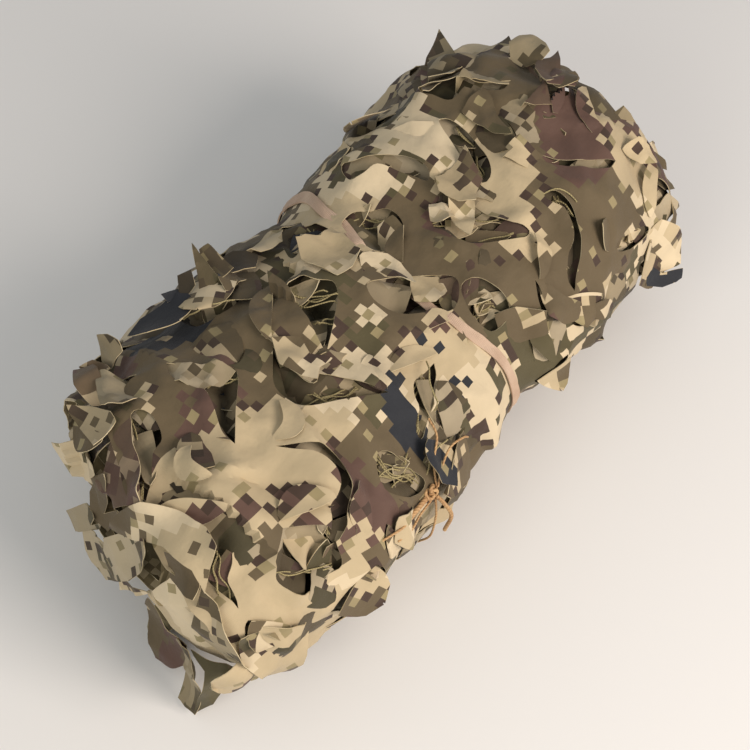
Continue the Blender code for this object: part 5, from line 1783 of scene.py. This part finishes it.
# Stops of a standing leaf are (along, around, off the outermost turn)
Standing = namedtuple("Standing", "tone corners stops")
STANDING_LEAVES = [
    # at the far end
    Standing("olive", (0, 4), [
        (232, -102, 22), (212, -74, 13), (194, -54, 6), (174, -46, 2), (166, -62, 3), (184, -88, 6),
        (204, -98, 14)]),
    # A dimmed leaf: painted shade
    Standing("deep", (1, 3), [
        (232, -98, 8), (236, -70, 12), (256, -76, 10), (268, -76, 10), (244, -42, 6), (224, -36, 4),
        (214, -62, 4)]),
    Standing("khaki", (0, 5), [
        (236, -40, 5), (245, -38, 13), (252, -33, 17), (250, -24, 19), (244, -12, 17), (238, -4, 12),
        (230, -8, 3), (222, -20, 2), (224, -32, 2)]),
    Standing("maroon", (2, 4), [
        (230, -10, 3), (238, -4, 9), (252, -6, 16), (240, 4, 13), (218, 16, 6), (206, 10, 2), (216, -4, 2)]),
    Standing("brown", (0, 3), [
        (216, 0, 3), (220, 14, 5), (234, 20, 9), (232, 26, 8), (220, 28, 4), (210, 20, 3), (204, 12, 2)]),
    Standing("olive", (0,), [
        (250, 64, 20), (254, 74, 18), (254, 86, 14), (256, 100, 10), (248, 108, 5), (236, 104, 2),
        (226, 88, 2), (222, 70, 3), (234, 60, 9)]),
    Standing("brown", (3,), [
        (248, 104, 8), (262, 126, 12), (266, 140, 14), (264, 152, 12), (254, 136, 6), (240, 112, 3)]),
    Standing("olive", (3,), [
        (234, 116, 3), (242, 120, 6), (246, 132, 12), (262, 168, 18), (240, 146, 8), (232, 130, 3)]),
    Standing("khaki", (4,), [
        (238, 146, 10), (256, 180, 12), (252, 194, 12), (216, 160, 8), (194, 140, 5), (204, 142, 6),
        (222, 146, 8)]),
    Standing("cream", (4, 6), [
        (190, 146, 4), (214, 150, 13), (226, 164, 20), (232, 182, 26), (216, 184, 30), (200, 188, 16),
        (188, 192, 5), (184, 172, 3)]),
    Standing("night", (2, 3), [
        (194, 182, 4), (200, 188, 10), (214, 186, 26), (212, 192, 27), (196, 196, 14), (184, 192, 5),
        (184, 184, 3)]),
    # along the roll's far side, left of the tape
    Standing("olive", (0, 3, 5), [
        (-68, -92, 20), (-76, -72, 15), (-80, -58, 10), (-86, -46, 4), (-104, -52, 5), (-112, -56, 7),
        (-106, -66, 9), (-98, -74, 11), (-86, -80, 16)]),
    Standing("olive", (0, 3), [
        (-68, -88, 18), (-61, -86, 19), (-62, -78, 12), (-64, -68, 3), (-78, -66, 3), (-74, -82, 11)]),
    # A dimmed, nearly black leaf: painted shade
    Standing("shaded_dark", (0, 3), [(-62, -86, 7), (-46, -86, 6), (-38, -72, 3), (-50, -62, 2), (-66, -68, 2)]),
    Standing("navy", (0, 4), [
        (-108, -92, 9), (-98, -84, 7), (-102, -72, 3), (-122, -68, 3), (-142, -80, 4), (-148, -96, 8),
        (-130, -100, 10)]),
    # A dimmed, nearly black leaf: painted shade
    Standing("shaded_dark", (0, 1, 4), [
        (-96, -84, 18), (-88, -78, 14), (-92, -76, 6), (-101, -80, 4), (-102, -84, 10)]),
    Standing("navy", (0, 3), [(-110, -92, 16), (-100, -86, 9), (-102, -82, 4), (-110, -90, 8)]),
    # round the near end
    Standing("olive", (0, 2, 5), [
        (-172, -110, 10), (-168, -106, 16), (-162, -98, 24), (-162, -90, 22), (-164, -82, 17),
        (-166, -80, 10), (-172, -86, 5), (-173, -100, 5)]),
    Standing("rose", (0,), [(-182, -116, 20), (-172, -110, 12), (-178, -90, 6), (-182, -112, 10)]),
    Standing("rose", (2,), [
        (-186, -118, 16), (-177, -112, 10), (-192, -78, 5), (-202, -74, 4), (-208, -80, 6), (-207, -90, 10),
        (-204, -94, 14)]),
    Standing("khaki", (0, 2, 5), [
        (-220, -88, 14), (-212, -74, 7), (-212, -52, 4), (-216, -44, 4), (-228, -48, 5), (-236, -52, 6),
        (-228, -74, 8), (-224, -84, 12)]),
]


def bent(places, spots):
    """How a push at each of some spots bends a thin plate at other places."""
    gap = np.linalg.norm(places[:, None] - spots[None], axis=2) ** 2 + 1.0
    return gap * np.log(gap)


def plate(spots, depths, places):
    """How far a thin plate that is held at some flat spots stands off the plane at other places."""
    level = np.column_stack([np.ones(len(spots)), spots])
    stiff = bent(spots, spots) + PLATE_SLACK * np.eye(len(spots))
    system = np.block([[stiff, level], [level.T, np.zeros((3, 3))]])
    found = np.linalg.solve(system, np.concatenate([depths, np.zeros(3)]))
    beside = np.column_stack([np.ones(len(places)), places])
    return bent(places, spots) @ found[:len(spots)] + beside @ found[len(spots):]


def area_of(outline):
    """The area in an outline, negative where it runs clockwise."""
    x, y = outline.T
    return (x * np.roll(y, -1) - y * np.roll(x, -1)).sum() / 2


def stretched(spots, corners, outward, tone):
    """A leaf through spots in space, in millimetres. outward is the side its print faces."""
    middle = spots.mean(axis=0)
    axes = np.linalg.svd(spots - middle)[2]
    normal = axes[2] if axes[2] @ outward > 0 else -axes[2]
    axes = np.array([axes[0], np.cross(normal, axes[0]), normal])
    laid = (spots - middle) @ axes.T
    stops = [(*laid[i, :2], 1) if i in corners else tuple(laid[i, :2]) for i in range(len(spots))]
    if area_of(laid[:, :2]) < 0:
        stops = stops[::-1]
    flat, faces = cut_flat(line_through(stops, OUTLINE_STEP, softness=FLAP_SOFTNESS), [], HUNG_STEP)
    place = other_place()
    depth = plate(laid[:, :2], laid[:, 2], flat)
    waves = faceted(flat[:, 0], flat[:, 1], FLAP_FACET, int(place[0] * 100) + len(spots))
    depth = depth + HUNG_WAVES * (waves - waves.mean())
    points = (middle + np.column_stack([flat, depth]) @ axes + FRAME_SHIFT) * MM
    return Cloth(points, faces, flat * MM + place, tone)


def hung(leaf):
    corners = {i for i, stop in enumerate(leaf.stops) if len(stop) > 3}
    return stretched(np.array([stop[:3] for stop in leaf.stops], float), corners, NEAR_END, leaf.tone)


def standing(leaf):
    stops = np.array(leaf.stops, float)
    spots, out = on_roll(stops[:, 0], stops[:, 1], outer_off(stops[:, :2]) + stops[:, 2])
    return stretched(spots / MM - FRAME_SHIFT, set(leaf.corners), out.mean(axis=0), leaf.tone)


hung_leaves = [hung(leaf) for leaf in HUNG_LEAVES] + [standing(leaf) for leaf in STANDING_LEAVES]
print(len(hung_leaves), "leaves that stand free")

# %% [markdown]
# ## Putting the cloth together
# Five objects now hold all the cloth: the outermost turn with its leaves, the second turn with those in the
# holes, the windings of the two ends, and the core. All but the core are thin sheets.

# %% Sheets and core
CORE_FLOOR = 0.0022


def declare_turn(replaced):
    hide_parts(replaced)


def closed_shape(name, cloth, finish):
    """A closed mesh from a grid whose seam meets and whose two poles are still open."""
    points = cloth.points.copy()
    points[:, 2] = np.maximum(points[:, 2], CORE_FLOOR)
    mesh = flat_mesh(name, points, cloth.faces.tolist(), cloth.flat)
    tone = np.tile(TONES[cloth.tone], (len(cloth.points), 1))
    mesh.attributes.new("tone", "FLOAT_COLOR", "POINT").data.foreach_set("color", tone.ravel())
    work = bmesh.new()
    work.from_mesh(mesh)
    bmesh.ops.remove_doubles(work, verts=work.verts[:], dist=1e-6)
    bmesh.ops.holes_fill(work, edges=work.edges[:], sides=0)
    bmesh.ops.triangulate(work, faces=[face for face in work.faces if len(face.verts) > 4])
    work.to_mesh(mesh)
    work.free()
    mesh.materials.append(finish)
    mesh.shade_smooth()
    mesh.set_sharp_from_angle(angle=math.radians(SHARP_FOLD))
    shown = linked(name, mesh)
    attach(shown, "root")
    return shown


wound_core = closed_shape("wound_core", core, printed_cloth)
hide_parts("rolled_turns")

second_cloths = [second_turn] + inner_leaves
second_piece = cloth_object("second_turn", second_cloths)
declare_turn("rolled_turns")

outer_cloths = [outer_turn] + outer_leaves + border_leaves + hung_leaves
outer_piece = cloth_object("outermost_cloth", outer_cloths)
declare_turn("outermost_turn")

for end, strip in (("near", ribbons[0]), ("far", ribbons[1])):
    piece = cloth_object(f"windings_{end}", [strip])

# %% [markdown]
# ## Cords of the mesh
# The cloth is laced to a mesh of thin cord. Where a hole is pulled open, cords cross it in loose bundles.
# Each is a short arc between two places under the rim. The tube function of the string's ends sweeps it with
# five sides, which are enough at this size, and all of them are one object.

# %% Thin cords
CORD = 1.25
CORD_END = 4.5      # how far a cord's ends go down under the rim
CORD_UNDER = 1.4      # how far the rest of it lies under the cloth
CORD_OVER = 0.12      # how far it runs on past its two places, as a share of the way between them


def cord_finish(name, pale, deep, ply=0.0016):
    """Twisted cord: slanting plies, which also darken the colour between them as painted shade, and a hue
    that wanders along it.
    """
    finish, tree, surface = new_finish(name)
    spot = add_node(tree, "UVMap", {}, uv_map="UVMap")[0]
    share = calc(tree, "MULTIPLY_ADD", grain(tree, spot, 0.018, 2.0), 2.4, 0.5)
    slant = add_node(tree, "Mapping", {"Vector": spot, "Rotation": (0, 0, math.radians(38))})[0]
    plies = stripes(tree, slant, ply, 0.8, "Y")
    # The plies lighten the colour on their crowns and darken it between them: painted shade
    tint = calc(tree, "MULTIPLY_ADD", plies, 0.35, calc(tree, "MULTIPLY", share, 0.75))
    tree.links.new(mixed(tree, tint, deep, pale), surface["Base Color"])
    bump = add_node(tree, "Bump", {"Height": plies, "Strength": 0.7, "Distance": 0.0004})[0]
    tree.links.new(bump, surface["Normal"])
    surface["Roughness"].default_value = 0.7
    return finish


mesh_cord = cord_finish("mesh_cord", colour(182, 168, 120), colour(104, 92, 60))
print("cord finish:", mesh_cord.name)

# %% Bundles of cord in the holes
# Each bundle runs from one place to another, bowed to its left, and sags between them
Bundle = namedtuple("Bundle", "start stop bow sag count spread")
BUNDLES = [Bundle(*row) for row in (
    ((-54, -30), (-40, 2), 9, 4, 3, 3),
    ((-64, -18), (-42, -6), -4, 5, 2, 3),
    ((-50, -30), (-46, 8), -8, 6, 2, 3),
    ((-66, 6), (-50, 12), 3, 4, 2, 2),
    ((-110, 0), (-116, 52), -14, 5, 6, 5),
    ((-114, 6), (-96, 56), -8, 7, 4, 4),
    ((-126, 26), (-98, 54), 5, 4, 4, 5),
    ((-108, 34), (-76, 66), -9, 1, 3, 3),
    ((-110, 38), (-88, 60), 5, 3, 2, 3),
    ((-164, -24), (-138, -6), -5, 3, 2, 2),
    ((-150, -30), (-166, 8), 8, 7, 2, 4),
    ((-156, 90), (-176, 114), 4, 6, 3, 3),
    ((-128, 104), (-98, 136), -4, 1, 4, 5),
    ((-120, 98), (-102, 130), 5, 2, 3, 4),
    ((-126, 118), (-98, 118), 4, 3, 2, 3),
    ((-46, 92), (-74, 112), 3, 5, 2, 2),
    ((-24, 26), (-4, 62), 8, 2, 2, 2),
    ((-14, 18), (30, 50), -6, 3, 2, 3),
    ((4, 30), (20, 68), 4, 4, 2, 3),
    ((26, 70), (46, 100), -6, 1, 4, 4),
    ((22, 90), (44, 84), 5, 2, 3, 4),
    ((38, -40), (40, -4), 8, 1, 2, 2),
    ((30, -44), (46, -10), -5, 5, 3, 4),
    ((-20, -52), (8, -70), 4, 5, 2, 3),
    ((64, -76), (88, -26), -4, 4, 3, 3),
    ((136, -30), (116, 18), 4, 3, 3, 3),
    ((140, -22), (120, 12), -3, 6, 2, 2),
    ((58, 30), (92, 66), 5, 5, 3, 4),
    ((62, 12), (92, 44), -4, 5, 2, 4),
    ((132, 64), (110, 112), -8, 1, 4, 2),
    ((134, 72), (104, 118), -5, 3, 3, 3),
    ((128, 62), (136, 84), -3, 0, 2, 2),
    ((156, -62), (186, -18), 5, 5, 2, 3),
    ((210, 2), (214, 24), 3, 4, 2, 3),
    ((-226, 100), (-190, 130), 6, 6, 3, 5),
    ((-208, 94), (-218, 130), -5, 5, 2, 4),
    ((-242, 72), (-254, 104), 4, 3, 2, 2),
    ((-208, -40), (-238, -4), 3, 8, 2, 3),
    ((156, 124), (192, 140), 3, 4, 3, 3),
    ((216, 126), (232, 160), 5, 4, 3, 4),
    ((68, 102), (66, 122), 2, 3, 2, 2),
)]
SURFACE_CORDS = [
    [(-68, 32), (-56, 50), (-42, 72), (-34, 88)],
    [(-116, -74), (-104, -62), (-94, -70), (-88, -58)],
    [(-110, -78), (-100, -56), (-86, -50)],
    [(-34, 84), (-46, 94), (-58, 110)],
    [(118, 60), (130, 60), (140, 68), (142, 80)],
    [(8, 92), (-2, 108), (-6, 126), (4, 146)],
    [(-94, 136), (-78, 128), (-62, 132)],
]
cord_dice = random.Random(31)


def bundle_tubes(bundle):
    """The cords of one bundle, each a little different."""
    start, stop = np.array(bundle.start, float), np.array(bundle.stop, float)
    way = stop - start
    left = np.array([-way[1], way[0]]) / np.linalg.norm(way)
    steps = max(12, int(np.linalg.norm(way) / 2.2))
    made = []
    for _ in range(bundle.count):
        shift = [cord_dice.uniform(-bundle.spread, bundle.spread) for _ in range(4)]
        bow = bundle.bow + cord_dice.uniform(-3, 3)
        sag = bundle.sag + cord_dice.uniform(-1, 3)
        t = np.linspace(-CORD_OVER, 1 + CORD_OVER, steps)[:, None]
        flat = start + way * t + left * (shift[0] * (1 - t) + shift[1] * t)
        arch = np.clip(4 * t * (1 - t), 0, 1)
        flat = flat + left * (bow * arch + 1.5 * np.sin(t * 9 + shift[2]))
        ends = flat[[0, -1]]
        low, high = sheet_off(ends[:, 1]) + folds(ends[:, 0], ends[:, 1])
        end_dip = CORD_END * (np.abs(t[:, 0] - 0.5) / (0.5 + CORD_OVER)) ** 4
        belly = np.maximum(sag, -1) * arch[:, 0] ** 0.7
        height = low + (high - low) * t[:, 0] - CORD_UNDER - end_dip - belly
        height = height + 0.7 * np.sin(t[:, 0] * 7 + shift[3])
        points, _ = on_roll(flat[:, 0], flat[:, 1], height)
        made.append(tube(points, CORD * cord_dice.uniform(0.8, 1.15) * MM))
    return made


def surface_tube(stops):
    """A cord that lies on the cloth, with both ends under it."""
    line = line_through(stops, 3.0, closed=False)
    ends = np.clip(np.minimum(np.arange(len(line)), np.arange(len(line))[::-1]) / 2.0, 0, 1)
    height = outer_off(line) - 1.2 + 2.1 * ends
    points, _ = on_roll(line[:, 0], line[:, 1], height)
    return tube(points, CORD * MM)


strands = [made for bundle in BUNDLES for made in bundle_tubes(bundle)]
strands += [surface_tube(stops) for stops in SURFACE_CORDS]
tubes_object("mesh_cords", strands, mesh_cord)

# %% [markdown]
# ## Tape and knot
# The tape is a flat woven strip that goes once round the waist. In the middle it dives under a leaf and comes
# out again, because the roll was tied before its last leaves were pulled out. The strip is a grid wrapped on
# the roll, a little twisted, with a crosswise rib in its weave.

# %% Waist tape
TAPE_WIDE, TAPE_THICK, TAPE_GAP = 9.0, 1.1, 0.9
TAPE_COLUMNS, TAPE_ROWS = 7, 300
TAPE_OVER_LAP = 8.0
TAPE_DIP = 9.0      # how far it goes down where cloth covers it
TAPE_TWIST = 0.9
TAPE_FLOOR = 0.0012


def tape_finish():
    finish, tree, surface = new_finish("woven_tape")
    spot = add_node(tree, "UVMap", {}, uv_map="UVMap")[0]
    ribs = stripes(tree, spot, 0.0014, 0.4, "Y")
    runs = stripes(tree, spot, 0.0011, 0.3, "X")
    weave = calc(tree, "MULTIPLY", ribs, runs)
    worn = calc(tree, "MULTIPLY_ADD", grain(tree, spot, 0.03, 3.0), 1.8, 0.5)
    # The weave lightens the colour on the threads and darkens it between them, as painted shade; worn is
    # random wear
    share = calc(tree, "MULTIPLY_ADD", weave, 0.35, calc(tree, "MULTIPLY", worn, 0.65))
    tree.links.new(mixed(tree, share, colour(172, 142, 118), colour(226, 202, 178)), surface["Base Color"])
    bump = add_node(tree, "Bump", {"Height": weave, "Strength": 0.8, "Distance": 0.0005})[0]
    tree.links.new(bump, surface["Normal"])
    surface["Roughness"].default_value = 0.75
    return finish


def waist_tape():
    """The strip as a closed band of its real thickness."""
    around = -GIRTH / 2 + GIRTH * np.arange(TAPE_ROWS) / TAPE_ROWS
    turn = np.where(around > SHEET_START, around, around + GIRTH)
    lap = around < SHEET_START + LAP + TAPE_OVER_LAP
    lift = np.maximum(sheet_off(turn), np.where(lap, sheet_off(around + GIRTH), 0))
    side = np.linspace(-1, 1, TAPE_COLUMNS)
    along = tape_along(around)[:, None] + side[None] * TAPE_WIDE / 2
    uneven = TAPE_TWIST * noise_at(around / 40, 2.0, 5.0)[:, None] * side[None]
    uneven = uneven + TAPE_TWIST * noise_at(around[:, None] / 11, side, 7.0)
    dip = TAPE_DIP * smooth((around + 22) / 16) * smooth((76 - around) / 14)
    base = (lift - dip)[:, None] + TAPE_GAP + 0.4 + uneven
    place = np.broadcast_to(around[:, None], along.shape)
    low, _ = on_roll(along, place, base)
    high, _ = on_roll(along, place, base + TAPE_THICK)
    points = np.concatenate([low.reshape(-1, 3), high.reshape(-1, 3)])
    points[:, 2] = np.maximum(points[:, 2], TAPE_FLOOR)
    ids = np.arange(TAPE_ROWS * TAPE_COLUMNS).reshape(TAPE_ROWS, TAPE_COLUMNS)
    nexts = np.roll(ids, -1, axis=0)
    top = len(low.reshape(-1, 3))
    faces = []
    for i in range(TAPE_COLUMNS - 1):
        quad = np.stack([ids[:, i], ids[:, i + 1], nexts[:, i + 1], nexts[:, i]], axis=1)
        faces += quad.tolist() + (quad[:, ::-1] + top).tolist()
    for i, flip in ((0, 1), (TAPE_COLUMNS - 1, -1)):
        wall = np.stack([ids[:, i], nexts[:, i], nexts[:, i] + top, ids[:, i] + top], axis=1)
        faces += wall[:, ::flip].tolist()
    flat = np.stack(np.broadcast_arrays(side[None] * TAPE_WIDE / 2, around[:, None]), axis=-1)
    flat = flat.reshape(-1, 2) * MM
    return points, np.array(faces), np.concatenate([flat, flat]), []


tape_piece = tubes_object("waist_strap", [waist_tape()], tape_finish())
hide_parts("waist_tape")

# %% [markdown]
# The string's knot is a plain overhand, so its line is a trefoil curve pressed flat. Five short runs of
# string lie on the cloth round it, and most of them go under the cloth at their far end.

# %% Knot
KNOT_STEPS = 96
RUN_THICK = 1.7
string_finish = cord_finish("tan_string", colour(206, 170, 120), colour(140, 96, 58), ply=0.0024)


def knot_route():
    seat, flat, out = knot_frame()
    route = []
    for step in range(KNOT_STEPS + 1):
        angle = 2 * math.pi * step / KNOT_STEPS
        radius = KNOT_RADIUS + KNOT_DEPTH * math.cos(3 * angle)
        way = flat(2 * angle + math.radians(KNOT_TURN))
        route.append(seat + (way * radius + out * (KNOT_DEPTH * math.sin(3 * angle))) * MM)
    return np.array(route)


def string_line(stops):
    """A string through places on the cloth, each with its own height over it."""
    places = []
    for along, around, off in stops:
        ground = float(outer_off(np.array([[along, around]], float))[0])
        places.append(Vector(on_roll(along, around, ground + off)[0]))
    return np.array(smooth_route(places, ROUTE_STEP))


STRING_RUNS = [
    [(-94, 150, 2.6), (-84, 132, 2.2), (-72, 120, 2.0), (-66, 110, -2.0)],
    [(-92, 146, 3.2), (-80, 138, 2.4), (-66, 134, 2.6), (-52, 138, 1.0), (-44, 146, -2.0)],
    [(-102, 148, 2.4), (-116, 146, 2.0), (-134, 141, 2.2), (-148, 138, 1.8), (-160, 138, -2.0)],
    [(-100, 152, 2.2), (-114, 152, 3.0), (-130, 148, 3.4), (-144, 146, 1.0)],
    [(-96, 154, 2.0), (-98, 170, 2.6), (-102, 190, 1.5), (-104, 206, -2.0)],
]
knot_tubes = [tube(knot_route(), KNOT_STRING * MM, sides=10)]
knot_tubes += [tube(string_line(run), RUN_THICK * MM, sides=7) for run in STRING_RUNS]
knot_piece = tubes_object("string_knot", knot_tubes, string_finish)
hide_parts("tie_knot")
for piece in free_ends:
    piece.data.materials.append(string_finish)
